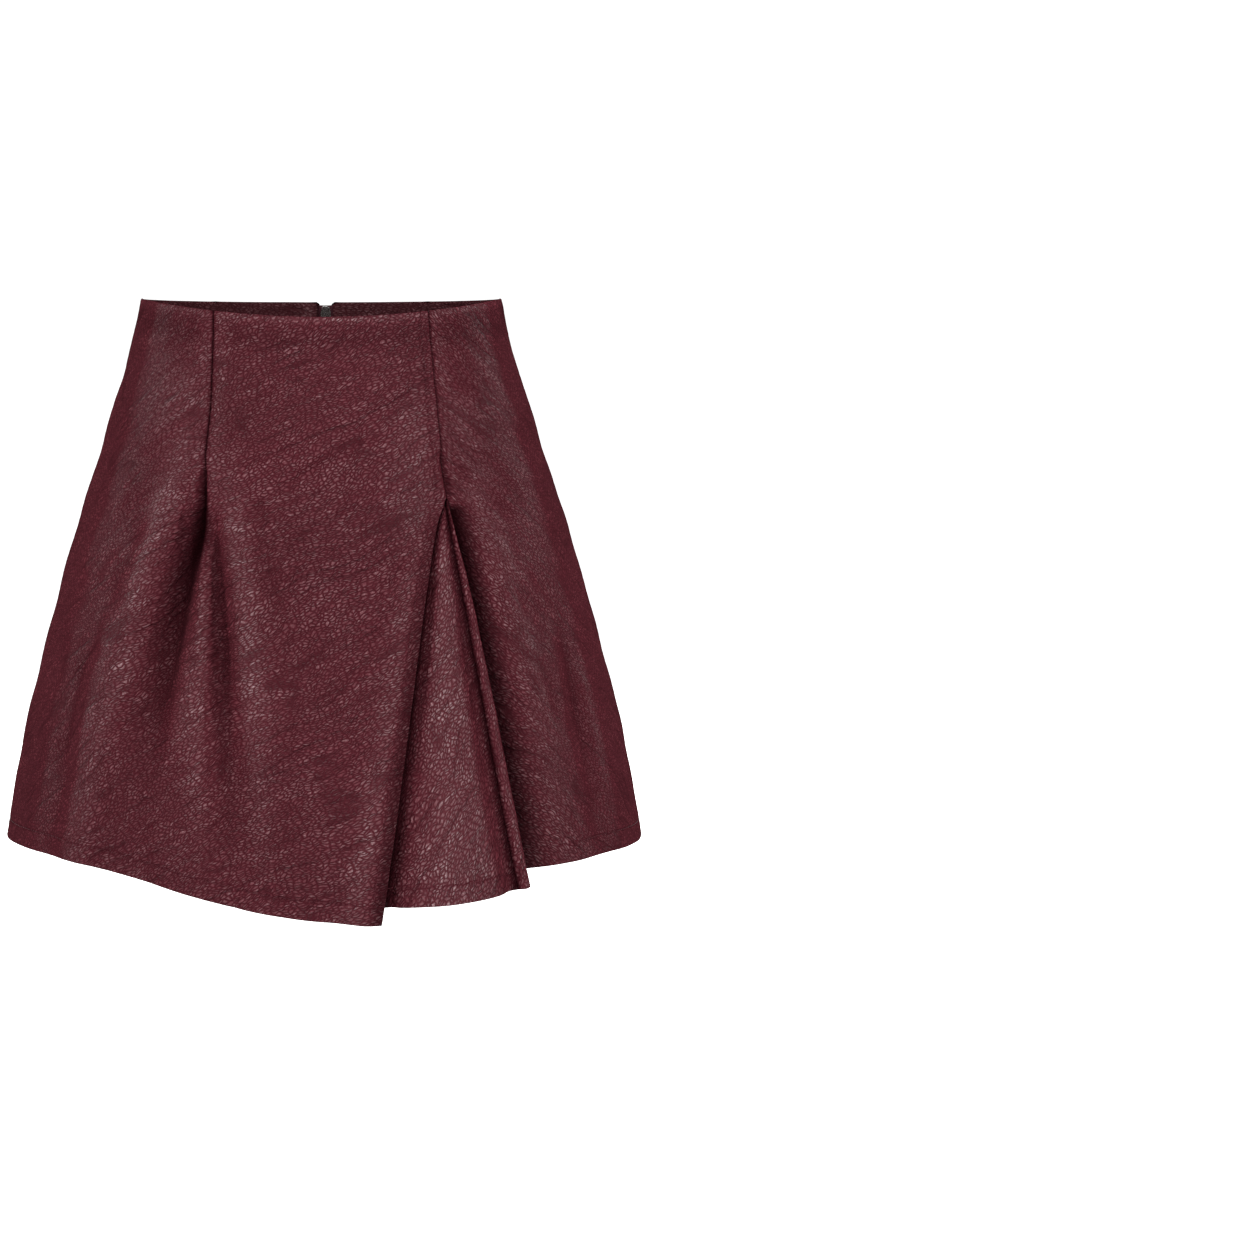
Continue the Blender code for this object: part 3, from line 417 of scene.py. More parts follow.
# Each crease runs from (x, drop) to (x, drop) and bows sideways between. Depth is inwards if negative.
Crease = namedtuple("Crease", "face x1 drop1 x2 drop2 bow width depth")
CREASES = table(Crease, {
    FRONT: (
        (-78.4, 104, -88, 190, 0, 2.8, -5.0),
        (-81, 122, -113, 288, -3, 10.5, -6.5),
        (-102, 130, -124, 236, 4, 10.0, 2.0),
        (-82.5, 150, -79, 262, 1, 5.0, 2.6),
        (78.6, 98, 86, 138, 0, 2.6, -2.6),
        (-37, 131, 48, 90, 5, 3.2, -0.75),
        (-49, 194, 3, 166, -3, 2.8, -0.6),
        (-25, 171, -11, 156, 2, 2.2, -0.45),
        (3, 145, 31, 128, -2, 2.4, -0.55),
        (-20, 115, 12, 108, 2, 2.6, -0.4),
        (12, 175, 24, 166, 0, 2.0, -0.4),
        (50, 131, 66, 118, 1, 2.2, -0.5),
        (-58, 118, -20, 98, 3, 3.4, -0.6),
        (-66, 152, -42, 128, 2, 3.0, 0.7),
        (-64, 178, -46, 156, 2, 2.6, -0.6),
        (28, 196, 58, 168, -3, 3.6, -0.7),
        (34, 232, 56, 204, 2, 3.0, 0.6),
        (-30, 232, 4, 212, 3, 3.4, -0.5),
        (-8, 262, 30, 236, -2, 4.0, -0.6),
        (-48, 262, -24, 244, 2, 3.0, -0.5),
        (-44, 306, -14, 282, 3, 3.6, -0.5),
        (2, 316, 32, 288, 2, 3.6, -0.5),
        (-36, 352, -8, 330, 2, 4.0, -0.45),
        (8, 366, 30, 344, 2, 4.0, -0.5),
        (-10, 60, 34, 42, 3, 4.0, -0.5),
        (-52, 76, -22, 58, 2, 3.6, -0.5),
        (30, 82, 64, 62, 3, 3.6, -0.55),
        (-108, 96, -82, 74, 3, 3.4, -0.8),
        (-118, 116, -86, 96, 3, 3.6, 0.8),
        (-106, 140, -90, 118, -2, 2.8, -0.7),
        (-140, 150, -112, 128, 3, 4.0, -0.7),
        (-150, 196, -126, 166, 3, 4.4, 0.8),
        (-132, 216, -112, 186, -2, 3.6, -0.6),
        (-116, 176, -98, 152, 2, 3.0, 0.6),
        (-168, 262, -144, 226, 3, 4.4, -0.7),
        (-142, 292, -120, 250, -3, 4.2, -0.6),
        (-180, 330, -160, 290, 3, 4.6, 0.7),
        (-150, 356, -128, 318, 2, 4.2, -0.6),
        (-112, 340, -92, 300, 2, 4.0, -0.6),
        (82, 52, 106, 72, 2, 3.4, -0.7),
        (88, 82, 116, 106, -3, 3.6, 0.8),
        (84, 100, 108, 128, -3, 3.2, -0.9),
        (96, 132, 122, 168, 3, 3.4, -0.8),
        (112, 118, 140, 146, -3, 4.0, 0.7),
        (112, 176, 138, 222, 4, 3.8, -0.7),
        (132, 176, 156, 214, -3, 4.2, 0.7),
        (134, 236, 160, 290, 4, 4.2, -0.7),
        (154, 296, 176, 350, 3, 4.4, -0.6),
        (140, 300, 158, 346, 3, 4.2, 0.5),
        (98, 26, 114, 44, 2, 3.2, -0.5),
        (-116, 44, -92, 30, 2, 3.4, -0.5),
    ),
    BACK: (
        (83.5, 108, 95, 190, 0, 2.6, -4.2),
        (86, 136, 103, 228, 2, 7.5, -4.0),
        (-87.5, 112, -99, 192, 0, 2.6, -4.2),
        (-90, 140, -106, 226, 2, 7.0, -3.6),
        (12, 168, 52, 148, 3, 3.4, 0.7),
        (18, 186, 44, 172, 2, 3.0, -0.6),
        (40, 142, 64, 158, 3, 4.0, -0.7),
        (58, 92, 40, 76, 3, 4.4, -0.7),
        (34, 104, 16, 92, 2, 3.4, -0.5),
        (66, 128, 48, 108, 2, 3.4, -0.6),
        (30, 232, 60, 210, 3, 4.0, -0.5),
        (62, 276, 36, 252, 3, 4.0, -0.5),
        (36, 334, 58, 306, 2, 4.2, -0.5),
        (102, 86, 82, 66, 3, 3.6, -0.7),
        (116, 128, 94, 96, 3, 3.6, 0.7),
        (110, 160, 94, 132, -2, 3.0, -0.7),
        (146, 186, 122, 146, 3, 4.2, -0.7),
        (136, 240, 116, 196, 3, 4.0, 0.6),
        (166, 290, 144, 240, 3, 4.4, -0.6),
        (150, 340, 128, 296, 3, 4.2, -0.6),
        (-20, 86, -52, 66, 3, 4.0, -0.6),
        (-44, 100, -66, 88, 2, 4.4, -0.8),
        (-12, 160, -54, 142, 3, 3.4, 0.8),
        (-20, 178, -58, 158, 2, 3.4, -0.6),
        (-50, 186, -76, 166, 2, 3.4, -0.5),
        (-40, 226, -70, 202, 3, 4.0, -0.6),
        (-56, 276, -84, 250, 3, 4.2, -0.6),
        (-60, 340, -88, 306, 3, 4.4, -0.5),
        (-84, 66, -104, 86, 2, 3.6, -0.7),
        (-92, 100, -118, 128, 3, 3.6, 0.7),
        (-96, 132, -120, 164, -3, 3.4, -0.7),
        (-124, 150, -146, 190, 3, 4.2, -0.6),
        (-122, 206, -146, 250, 3, 4.2, 0.6),
        (-150, 244, -168, 296, 3, 4.4, -0.6),
        (-130, 280, -152, 330, 3, 4.4, -0.6),
    ),
})

# Painted highlights: where the hide is painted paler, and made glossier too. The rows are those of creases,
# and "depth" is how strong the painted highlight is, from 0 to 1.
PAINTED_HIGHLIGHTS = table(Crease, {
    FRONT: (
        (-93, 30, -96, 130, 0, 13, 0.65),
        (-94, 92, -130, 232, -1, 9, 1.0),
        (-122, 190, -162, 330, -2, 11, 0.5),
        (-70, 86, -36, 320, 0, 9, 0.75),
        (60, 50, 62, 176, 0, 15, 0.5),
        (88, 44, 104, 156, 0, 11, 0.6),
        (97, 112, 138, 262, 2, 9, 0.6),
    ),
    BACK: (
        (94, 40, 98, 150, 0, 12, 0.5),
        (96, 110, 146, 300, 3, 9, 0.8),
        (74, 90, 62, 330, 0, 9, 0.5),
        (12, 150, 52, 132, 0, 10, 0.55),
        (16, 168, 16, 400, 0, 7, 0.9),
        (-94, 40, -98, 150, 0, 12, 0.5),
        (-88, 176, -112, 330, 0, 8, 0.8),
        (-104, 140, -138, 300, 0, 9, 0.6),
        (-12, 150, -60, 128, 0, 9, 0.5),
        (-70, 110, -70, 330, 0, 9, 0.45),
    ),
})

# Slow unevenness of the hide: (direction x, y, z per millimetre, start, height).
SWELLS = (
    (0.062, 0.020, 0.105, 0.4, 0.20),
    (-0.085, 0.045, 0.150, 1.9, 0.14),
    (0.150, -0.060, 0.070, 3.1, 0.12),
    (-0.120, -0.160, -0.210, 0.9, 0.09),
    (0.230, 0.110, 0.190, 2.2, 0.07),
    (-0.310, 0.240, 0.120, 4.0, 0.05),
)

# The lips beside a crease, and the share of its length over which it fades at each end.
CREASE_LIP = 0.35
CREASE_LIP_AT = 1.9
CREASE_TAPER = 0.3

# The soft hollow below the waist's turned edge.
WAIST_HOLLOW_AT = 15.0
WAIST_HOLLOW_WIDTH = 8.0
WAIST_HOLLOW = -0.5


def creases(bearing, drop, rows=CREASES, lip=CREASE_LIP):
    """Height of the listed creases and ridges, each with a soft lip beside it."""
    x = sideways(bearing, drop)
    front = np.cos(bearing) > 0
    total = np.zeros(np.shape(x))
    for crease in rows:
        across_x, along_drop = crease.x2 - crease.x1, crease.drop2 - crease.drop1
        length = math.hypot(across_x, along_drop)
        along = ((x - crease.x1) * across_x + (drop - crease.drop1) * along_drop) / length ** 2
        aside = ((x - crease.x1) * along_drop - (drop - crease.drop1) * across_x) / length
        aside = aside - 4 * crease.bow * along * (1 - along)
        taper = ease(along / CREASE_TAPER) * ease((1 - along) / CREASE_TAPER)
        lip_at = CREASE_LIP_AT * crease.width
        lips = bell(aside - lip_at, crease.width) + bell(aside + lip_at, crease.width)
        shape = bell(aside, crease.width) - lip * lips
        total = total + np.where(front == (crease.face == FRONT), crease.depth * taper * shape, 0.0)
    return total


def unevenness(bearing, drop):
    """The hide's own slow swells, and the soft hollow below the waist's turned edge."""
    plain = placed(bearing, drop, 0.0)
    total = np.zeros(np.shape(plain)[:-1])
    for x, y, z, start, height in SWELLS:
        total = total + height * np.sin(plain[..., 0] * x + plain[..., 1] * y + plain[..., 2] * z + start)
    below_waist = drop - waist_drop(bearing)
    return total + WAIST_HOLLOW * bell(below_waist - WAIST_HOLLOW_AT, WAIST_HOLLOW_WIDTH)


def hide(bearing, drop):
    return creases(bearing, drop) + unevenness(bearing, drop)


# ---------------------------------------------------------------- laying out a piece of cloth

# An edge has marks where its first rows or columns lie. Its outer and inner faces round off within "round",
# by "outer" and "inner". A stitch line lies at "stitch" from it, or 0 stands for none.
Edge = namedtuple("Edge", "marks round outer inner stitch")
HEM_STITCH = 12.75
FREE_EDGE_STITCH = 6.4
STITCH_MARKS = (10.6, 11.6, 12.2, HEM_STITCH, 13.3, 13.9, 15.0)
SEAM = Edge((0, 0.3, 0.7, 1.2, 1.8, 2.6, 3.8), 1.9, 1.25, 0.0, 0)
ZIP_EDGE = Edge((0, 0.25, 0.6, 1.1, 1.7, 2.5, 3.8), 3.0, 1.35, 0.0, 0)
FREE = Edge((0, 0.12, 0.35, 0.7, 1.2, 1.9, 2.9), 1.0, 0.62, 0.5, 0)
STITCHED_FREE = Edge((0, 0.12, 0.35, 0.7, 1.2, 1.9, 3.4, 5.0, 5.9, FREE_EDGE_STITCH, 6.9, 7.8, 9.4),
                     1.0, 0.62, 0.5, FREE_EDGE_STITCH)
WAIST = Edge((0, 0.2, 0.5, 0.9, 1.5, 2.4, 3.8), 1.6, 0.75, 0.4, 0)
HEM = Edge((0, 0.2, 0.5, 0.9, 1.5, 2.4, 4.2, 6.4, 8.6) + STITCH_MARKS, 1.5, 1.2, 0.9, HEM_STITCH)
PLAIN = Edge((0, 0.3), 0.3, 0.1, 0.1, 0)

# The groove in which stitches lie, the pucker along a seam, and how a seam fades below a pleat's top.
GROOVE_DEPTH = 0.34
GROOVE_HALF = 0.62
GROOVE_START = 8.0
PUCKER_HEIGHT = 0.22
PUCKER_REACH = 5.0
PUCKER_PACE = 0.9
PUCKER_SHIFT = 11.0
PUCKER_WAVES = ((0.83, 0.0, 1.0), (1.37, 1.0, 0.6))
SEAM_FADE = 26.0
SEAM_TURN = 4.0

# Painted shade and highlights: how dark or pale it is painted by seams, the zip, stitches and the waist, in
# valleys and on ridges.
SEAM_DARK = 0.9
SEAM_DARK_REACH = 1.3
SEAM_PALE = 0.45
SEAM_PALE_AT = 5.0
ZIP_DARK = 0.92
ZIP_DARK_REACH = 2.3
STITCH_DARK = 0.3
STITCH_DARK_REACH = 1.0
WAIST_PALE = 0.75
WAIST_PALE_AT = 2.4
WAIST_PALE_REACH = 1.6
WAIST_DARK = 0.22
VALLEY_REACH = 8.0
VALLEY_DEPTH = 2.2
VALLEY_DARK = 0.5
VALLEY_FADE = 0.75
VALLEY_FADE_START = 230.0
VALLEY_FADE_LENGTH = 130.0
RIDGE_REACH = 14.0
RIDGE_HEIGHT = 3.0
RIDGE_PALE = 0.6

# Laying out: where it starts, the least width, the share of a length that marks may take, and its rounds.
FIRST_DROP = 20.0
LEAST_WIDTH = 0.2
MARKS_SHARE = 0.8
LAYOUT_STEPS = 6
WIDE_AT = 0.8
TURN_UP_STEP = 1.2
SHARP_ANGLE = math.radians(50)

# How far apart two pieces' places on the hide are, in metres.
PLACE_SHIFT = (0.71, 0.37)

# A cut lies between two sides, start and end, and between its top and hem. Its four edges are given in that
# order. A side seam opens below "released". The cloth lies "depth" in from the body's face, is "cloth" thick
# and "turned" thicker at the hem, and the hide's wrinkles slant by "grain" degrees.
# "shaded" gives the painted shade on a piece, or a painted highlight where it is below 0.
Cut = namedtuple("Cut", "name node offset start end top hem edges released depth cloth turned grain shaded")


class Plan:
    """Where the rows or columns of a grid lie: marks from both ends, and even steps between."""

    def __init__(self, start_marks, end_marks, typical, step):
        low, high = start_marks[-1], end_marks[-1]
        count = max(int(round((typical - low - high) / step)), 2)
        inner = np.arange(1, count) / count
        self.share = np.concatenate([np.zeros(len(start_marks)), inner, np.ones(len(end_marks))])
        fixed = low * (1 - inner) - high * inner
        self.fixed = np.concatenate([start_marks, fixed, -np.array(end_marks[::-1], float)])
        self.reach = low + high

    def distances(self, length, down=False):
        """How far each line lies from the start of cloth of this length, across it or down it."""
        turned = (slice(None), None) if down else slice(None)
        squeeze = np.minimum(1.0, MARKS_SHARE * length / self.reach)
        return squeeze * self.fixed[turned] + length * self.share[turned]


def laid_out(cut, columns, rows):
    """Bearings and drops of the cloth's grid, with each point's distance from the four edges."""
    drop = np.linspace(FIRST_DROP, HEM_AT_SIDES, len(rows.share))[:, None] + np.zeros(len(columns.share))
    for _ in range(LAYOUT_STEPS):
        start, end = cut.start(drop), cut.end(drop)
        width = np.maximum((end - start) * mean_radius(drop), LEAST_WIDTH)
        across = columns.distances(width)
        bearing = start + (end - start) * across / width
        top, hem = cut.top(bearing), cut.hem(bearing)
        down = rows.distances(hem - top, down=True)
        drop = top + down
    return bearing, drop, (across, width - across, down, hem - top - down)


def rounding(distance, width, depth):
    """How far a face draws in as it rounds over an edge."""
    away = clamp(distance / width)
    return depth * (1 - np.sqrt(np.maximum(1 - (1 - away) ** 2, 0.0)))


def grid_normals(points):
    across = np.gradient(points, axis=1)
    down = np.gradient(points, axis=0)
    normals = np.cross(down, across)
    return normals / np.linalg.norm(normals, axis=-1, keepdims=True)


def seam_normals(normals, bearing, drop, distances, edges):
    """Normals that turn towards the body's own at a seam, so that the two sides of the seam meet."""
    plain = placed(bearing, drop, 1.0) - placed(bearing, drop, 0.0)
    share = np.zeros(drop.shape)
    for edge, distance in zip(edges[:2], distances[:2]):
        if edge in (SEAM, ZIP_EDGE):
            share = np.maximum(share, 1 - ease(distance / SEAM_TURN))
    turned = mix(normals, plain, share[..., None])
    return turned / np.linalg.norm(turned, axis=-1, keepdims=True)


def seam_strength(released, drop):
    """A seam that ends in a pleat draws in less below the pleat's top."""
    if released is None:
        return 1.0
    return 1 - ease((drop - released) / SEAM_FADE)


# The last field holds each point's painted shade, above 0, or painted highlight, below 0.
Laid = namedtuple("Laid", "outer inner normals distances drop flat_place area wear")


def ridge_height(cut, bearing, drop, reach):
    """How far the cloth stands out from the cloth a reach to either side of it."""
    aside = reach / mean_radius(drop)
    beside = cut.offset(bearing - aside, drop) + cut.offset(bearing + aside, drop)
    beside = beside + creases(bearing - aside, drop) + creases(bearing + aside, drop)
    return cut.offset(bearing, drop) + creases(bearing, drop) - beside / 2


def wear(cut, bearing, drop, distances):
    """1 where shade is painted deep in a valley or under a layer's edge, 0 on open cloth, -1 where a painted
    highlight lies on a ridge.
    """
    low_down = 1 - VALLEY_FADE * ease((drop - VALLEY_FADE_START) / VALLEY_FADE_LENGTH)
    dark = VALLEY_DARK * low_down * ease(-ridge_height(cut, bearing, drop, VALLEY_REACH) / VALLEY_DEPTH)
    painted_highlight = RIDGE_PALE * ease(ridge_height(cut, bearing, drop, RIDGE_REACH) / RIDGE_HEIGHT)
    painted_highlight = np.maximum(painted_highlight, creases(bearing, drop, PAINTED_HIGHLIGHTS, 0.0))
    for side in (0, 1):
        if cut.edges[side] is SEAM:
            strength = seam_strength(cut.released[side], drop)
            dark = np.maximum(dark, SEAM_DARK * strength * np.exp(-distances[side] / SEAM_DARK_REACH))
            pale = bell(distances[side] - SEAM_PALE_AT, SEAM_PALE_AT)
            painted_highlight = np.maximum(painted_highlight, SEAM_PALE * strength * pale)
        if cut.edges[side] is ZIP_EDGE:
            dark = np.maximum(dark, ZIP_DARK * bell(distances[side], ZIP_DARK_REACH))
    for edge, distance in zip(cut.edges, distances):
        if edge.stitch:
            dark = np.maximum(dark, STITCH_DARK * bell(distance - edge.stitch, STITCH_DARK_REACH))
    if cut.edges[2] is WAIST:
        painted_highlight = np.maximum(painted_highlight, WAIST_PALE * bell(distances[2] - WAIST_PALE_AT, WAIST_PALE_REACH))
        dark = np.maximum(dark, WAIST_DARK * bell(distances[2] - WAIST_HOLLOW_AT, WAIST_HOLLOW_WIDTH))
    placed_here = cut.shaded(bearing, drop) if cut.shaded else np.zeros(drop.shape)
    dark = np.maximum(dark, placed_here)
    painted_highlight = np.maximum(painted_highlight, -placed_here)
    return np.clip(dark - painted_highlight * (1 - clamp(dark)) ** 2, -1.0, 1.0)


def lay_cloth(cut, sizes):
    """Outer and inner faces of a piece of cloth as grids of points, in millimetres."""
    middle = np.array([[HEM_AT_SIDES * WIDE_AT]])
    widest = float(((cut.end(middle) - cut.start(middle)) * mean_radius(middle))[0, 0])
    centre = (cut.start(middle) + cut.end(middle)) / 2
    tallest = float((cut.hem(centre) - cut.top(centre))[0, 0])
    step = sizes.grid_step / MM
    columns = Plan(cut.edges[0].marks, cut.edges[1].marks, widest, step)
    rows = Plan(cut.edges[2].marks, cut.edges[3].marks, tallest, step)
    bearing, drop, distances = laid_out(cut, columns, rows)
    base = placed(bearing, drop, cut.offset(bearing, drop) + hide(bearing, drop))
    normals = seam_normals(grid_normals(base), bearing, drop, distances, cut.edges)
    outer_draw = np.zeros(drop.shape)
    inner_draw = np.zeros(drop.shape)
    for side, (edge, distance) in enumerate(zip(cut.edges, distances)):
        released = cut.released[side] if side < 2 else None
        strength = seam_strength(released, drop)
        outer_draw = np.maximum(outer_draw, strength * rounding(distance, edge.round, edge.outer))
        inner_draw = np.maximum(inner_draw, rounding(distance, edge.round, edge.inner))
        if edge is SEAM:
            along = drop * PUCKER_PACE + PUCKER_SHIFT * side
            wave = sum(height * np.sin(along * pace + start) for pace, start, height in PUCKER_WAVES)
            outer_draw = outer_draw - PUCKER_HEIGHT * strength * np.exp(-distance / PUCKER_REACH) * wave
        if edge.stitch:
            begins = ease((drop - cut.released[side] - GROOVE_START) / GROOVE_START) if side < 2 else 1.0
            outer_draw = outer_draw + GROOVE_DEPTH * begins * bell(distance - edge.stitch, GROOVE_HALF)
    turned = sizes.hem_turn_up / MM
    extra = cut.turned * ease((turned + TURN_UP_STEP / 2 - distances[3]) / TURN_UP_STEP)
    depth = cut.depth(bearing, drop) if callable(cut.depth) else cut.depth
    thick = cut.cloth + extra
    outer = base - normals * (depth + outer_draw)[..., None]
    inner = base - normals * (depth + thick - inner_draw)[..., None]
    flat_place = np.stack([(distances[0] - distances[1]) / 2, -drop], axis=-1)
    # The painted shade and painted highlights that the cloth's colour takes.
    painted_tone = wear(cut, bearing, drop, distances)
    return Laid(outer, inner, normals, distances, drop, flat_place, grid_area(base), painted_tone)


def grid_area(points):
    first = np.cross(points[1:, :-1] - points[:-1, :-1], points[:-1, 1:] - points[:-1, :-1])
    second = np.cross(points[1:, :-1] - points[1:, 1:], points[:-1, 1:] - points[1:, 1:])
    return float((np.linalg.norm(first, axis=-1) + np.linalg.norm(second, axis=-1)).sum() / 2) * MM * MM


def turned_place(place, degrees, index):
    """The cloth's flat place, turned so that U runs along the hide's wrinkles, and moved for each piece."""
    turn = math.radians(degrees)
    across, up = place[..., 0], place[..., 1]
    u = across * math.cos(turn) + up * math.sin(turn)
    v = up * math.cos(turn) - across * math.sin(turn)
    return np.stack([u, v], axis=-1) * MM + np.array(PLACE_SHIFT) * index


def shell(name, laid, place, materials):
    """A closed shell of cloth: a grid on the outer face, extruded to the inner one."""
    rows, columns = laid.drop.shape[0] - 1, laid.drop.shape[1] - 1
    outer, inner = (laid.outer * MM).tolist(), (laid.inner * MM).tolist()
    mesh = bmesh.new()
    bmesh.ops.create_grid(mesh, x_segments=columns, y_segments=rows, size=0.5)
    spot = mesh.verts.layers.float_vector.new("spot")
    for vert in mesh.verts:
        column = round((vert.co.x + 0.5) * columns)
        row = round((0.5 - vert.co.y) * rows)
        vert[spot] = (column, row, 0)
        vert.co = outer[row][column]
    moved = bmesh.ops.extrude_face_region(mesh, geom=mesh.faces[:])["geom"]
    for vert in moved:
        if isinstance(vert, bmesh.types.BMVert):
            column, row, _ = vert[spot]
            vert[spot] = (column, row, 1)
            vert.co = inner[round(row)][round(column)]
    bmesh.ops.recalc_face_normals(mesh, faces=mesh.faces[:])
    for face in mesh.faces:
        face.smooth = True
        face.material_index = int(all(vert[spot].z > 0.5 for vert in face.verts))
    for edge in mesh.edges:
        edge.smooth = edge.calc_face_angle(0.0) < SHARP_ANGLE
    data = mesh_data(name, mesh)
    spots = np.empty(len(data.vertices) * 3)
    data.attributes["spot"].data.foreach_get("vector", spots)
    spots = spots.reshape(-1, 3).round().astype(int)
    corners = np.empty(len(data.loops), int)
    data.loops.foreach_get("vertex_index", corners)
    layer = data.uv_layers.new(name="cloth")
    layer.uv.foreach_set("vector", place[spots[corners, 1], spots[corners, 0]].ravel())
    # Each point keeps its painted shade and painted highlight, for the leather's colour.
    painted_tone = data.attributes.new("wear", "FLOAT", "POINT")
    painted_tone.data.foreach_set("value", laid.wear[spots[:, 1], spots[:, 0]].astype(np.float32))
    data.attributes.remove(data.attributes["spot"])
    return finished(name, data, materials)


def mesh_data(name, mesh):
    """The mesh as data for an object. The working mesh is freed."""
    data = bpy.data.meshes.new(name)
    mesh.to_mesh(data)
    mesh.free()
    return data


def finished(name, data, materials):
    made = bpy.data.objects.new(name, data)
    for material in materials:
        data.materials.append(material)
    bpy.context.scene.collection.objects.link(made)
    return made


# ---------------------------------------------------------------- shader building

def node(tree, kind, inputs=None, **settings):
    made = tree.nodes.new(kind)
    for key, value in settings.items():
        setattr(made, key, value)
    for key, value in (inputs or {}).items():
        if isinstance(value, bpy.types.NodeSocket):
            tree.links.new(value, made.inputs[key])
        else:
            made.inputs[key].default_value = value
    return made


def sums(tree, operation, a, b=0.0, c=None):
    inputs = {0: a, 1: b}
    if c is not None:
        inputs[2] = c
    return node(tree, "ShaderNodeMath", inputs, operation=operation).outputs[0]


def between(tree, value, low, high, to_low=0.0, to_high=1.0):
    inputs = {"Value": value, "From Min": low, "From Max": high, "To Min": to_low, "To Max": to_high}
    return node(tree, "ShaderNodeMapRange", inputs, interpolation_type="SMOOTHSTEP").outputs[0]


def vectors(tree, operation, a, b):
    return node(tree, "ShaderNodeVectorMath", {0: a, 1: b}, operation=operation).outputs[0]


def stretched(tree, place, along):
    return vectors(tree, "MULTIPLY", place, (along, 1.0, 1.0))


def noise(tree, place, scale, detail=2.0, roughness=0.5, output="Fac"):
    inputs = {"Vector": place, "Scale": scale, "Detail": detail, "Roughness": roughness}
    return node(tree, "ShaderNodeTexNoise", inputs, noise_dimensions="2D").outputs[output]


def cell_edge(tree, place, scale):
    """How far a point lies from the edge of its cell."""
    inputs = {"Vector": place, "Scale": scale, "Randomness": 1.0}
    cells = node(tree, "ShaderNodeTexVoronoi", inputs, voronoi_dimensions="2D", feature="DISTANCE_TO_EDGE")
    return cells.outputs["Distance"]


def wandered(tree, place, scale, reach):
    """The place, moved about by a slow noise, so that the grain's direction wanders."""
    drift = noise(tree, place, scale, detail=1.0, output="Color")
    drift = vectors(tree, "SUBTRACT", drift, (0.5, 0.5, 0.5))
    drift = vectors(tree, "MULTIPLY", drift, (reach, reach, 0.0))
    return vectors(tree, "ADD", place, drift)


def crest(tree, value, half):
    """1 along the lines where a noise passes its middle, falling to 0 at half either side."""
    off = sums(tree, "ABSOLUTE", sums(tree, "SUBTRACT", value, 0.5))
    return between(tree, off, 0.0, half, 1.0, 0.0)


# The hide's grain. Scales are in repeats a metre. A stretch below 1 draws a pattern out along the wrinkles.
# A "range" is where a pattern's own value starts to rise and where it is full.
GRAIN_SOCKETS = (
    ("INPUT", "NodeSocketVector", ("Place",)),
    ("INPUT", "NodeSocketFloat", ("Pebbles", "Crests", "Creases")),
    ("OUTPUT", "NodeSocketFloat", ("Height", "Crest", "Valley", "Slow")),
)
WANDERS = ((14.0, 0.014), (150.0, 0.0030))
SLOW_SCALE = 24.0
SLOW_RANGE = (0.40, 0.62)
PEBBLE_STRETCH = 0.4
PEBBLE_RANGE = (0.0, 0.34)
PEBBLE_TOP_RANGE = (0.04, 0.42)
FINE_STRETCH = 0.6
FINE_SCALE = 1.7
FINE_RANGE = (0.0, 0.4)
WAVE_STRETCH = 0.22
WAVE_HALF = 0.10
LONG_STRETCH = 0.15
LONG_HALF = 0.042
LONG_HERE_SCALE = 30.0
LONG_HERE_RANGE = (0.42, 0.54)
PEBBLE_RISE = 0.30
FINE_RISE = 0.16
WAVE_RISE = 0.34
SWELL_RISE = 0.9
LONG_RISE = -0.6
FINE_ON_CREST = (0.6, 0.4)
WAVE_ON_CREST = (0.75, 0.3)


def hide_grain_group():
    """Pebbles parted by cracks, fine wavy crests and long creases. U runs along the wrinkles."""
    tree = bpy.data.node_groups.new("hide_grain", "ShaderNodeTree")
    for in_out, kind, names in GRAIN_SOCKETS:
        for name in names:
            tree.interface.new_socket(name=name, in_out=in_out, socket_type=kind)
    given, put = tree.nodes.new("NodeGroupInput"), tree.nodes.new("NodeGroupOutput")
    place = given.outputs["Place"]
    for scale, reach in WANDERS:
        place = wandered(tree, place, scale, reach)
    pebbles, crests, creases_scale = (given.outputs[name] for name in ("Pebbles", "Crests", "Creases"))
    slow = between(tree, noise(tree, place, SLOW_SCALE), *SLOW_RANGE)
    edge = cell_edge(tree, stretched(tree, place, PEBBLE_STRETCH), pebbles)
    pebble = between(tree, edge, *PEBBLE_RANGE)
    top = between(tree, edge, *PEBBLE_TOP_RANGE)
    finer = sums(tree, "MULTIPLY", pebbles, FINE_SCALE)
    fine = between(tree, cell_edge(tree, stretched(tree, place, FINE_STRETCH), finer), *FINE_RANGE)
    swell = noise(tree, stretched(tree, place, WAVE_STRETCH), crests, detail=1.0)
    wave = crest(tree, swell, WAVE_HALF)
    long_place = stretched(tree, place, LONG_STRETCH)
    long_noise = noise(tree, long_place, creases_scale, detail=1.5, roughness=0.4)
    long_here = between(tree, noise(tree, place, LONG_HERE_SCALE, detail=1.0), *LONG_HERE_RANGE)
    long_crease = sums(tree, "MULTIPLY", crest(tree, long_noise, LONG_HALF), long_here)
    lines = sums(tree, "MULTIPLY", top, sums(tree, "MULTIPLY_ADD", fine, *FINE_ON_CREST))
    lines = sums(tree, "MULTIPLY", lines, sums(tree, "MULTIPLY_ADD", wave, *WAVE_ON_CREST))
    height = sums(tree, "MULTIPLY", pebble, PEBBLE_RISE)
    for form, rise in ((fine, FINE_RISE), (wave, WAVE_RISE), (swell, SWELL_RISE), (long_crease, LONG_RISE)):
        height = sums(tree, "MULTIPLY_ADD", form, rise, height)
    low = sums(tree, "MAXIMUM", sums(tree, "SUBTRACT", 1.0, pebble), long_crease)
    for value, label in ((height, "Height"), (lines, "Crest"), (low, "Valley"), (slow, "Slow")):
        tree.links.new(value, put.inputs[label])
    return tree


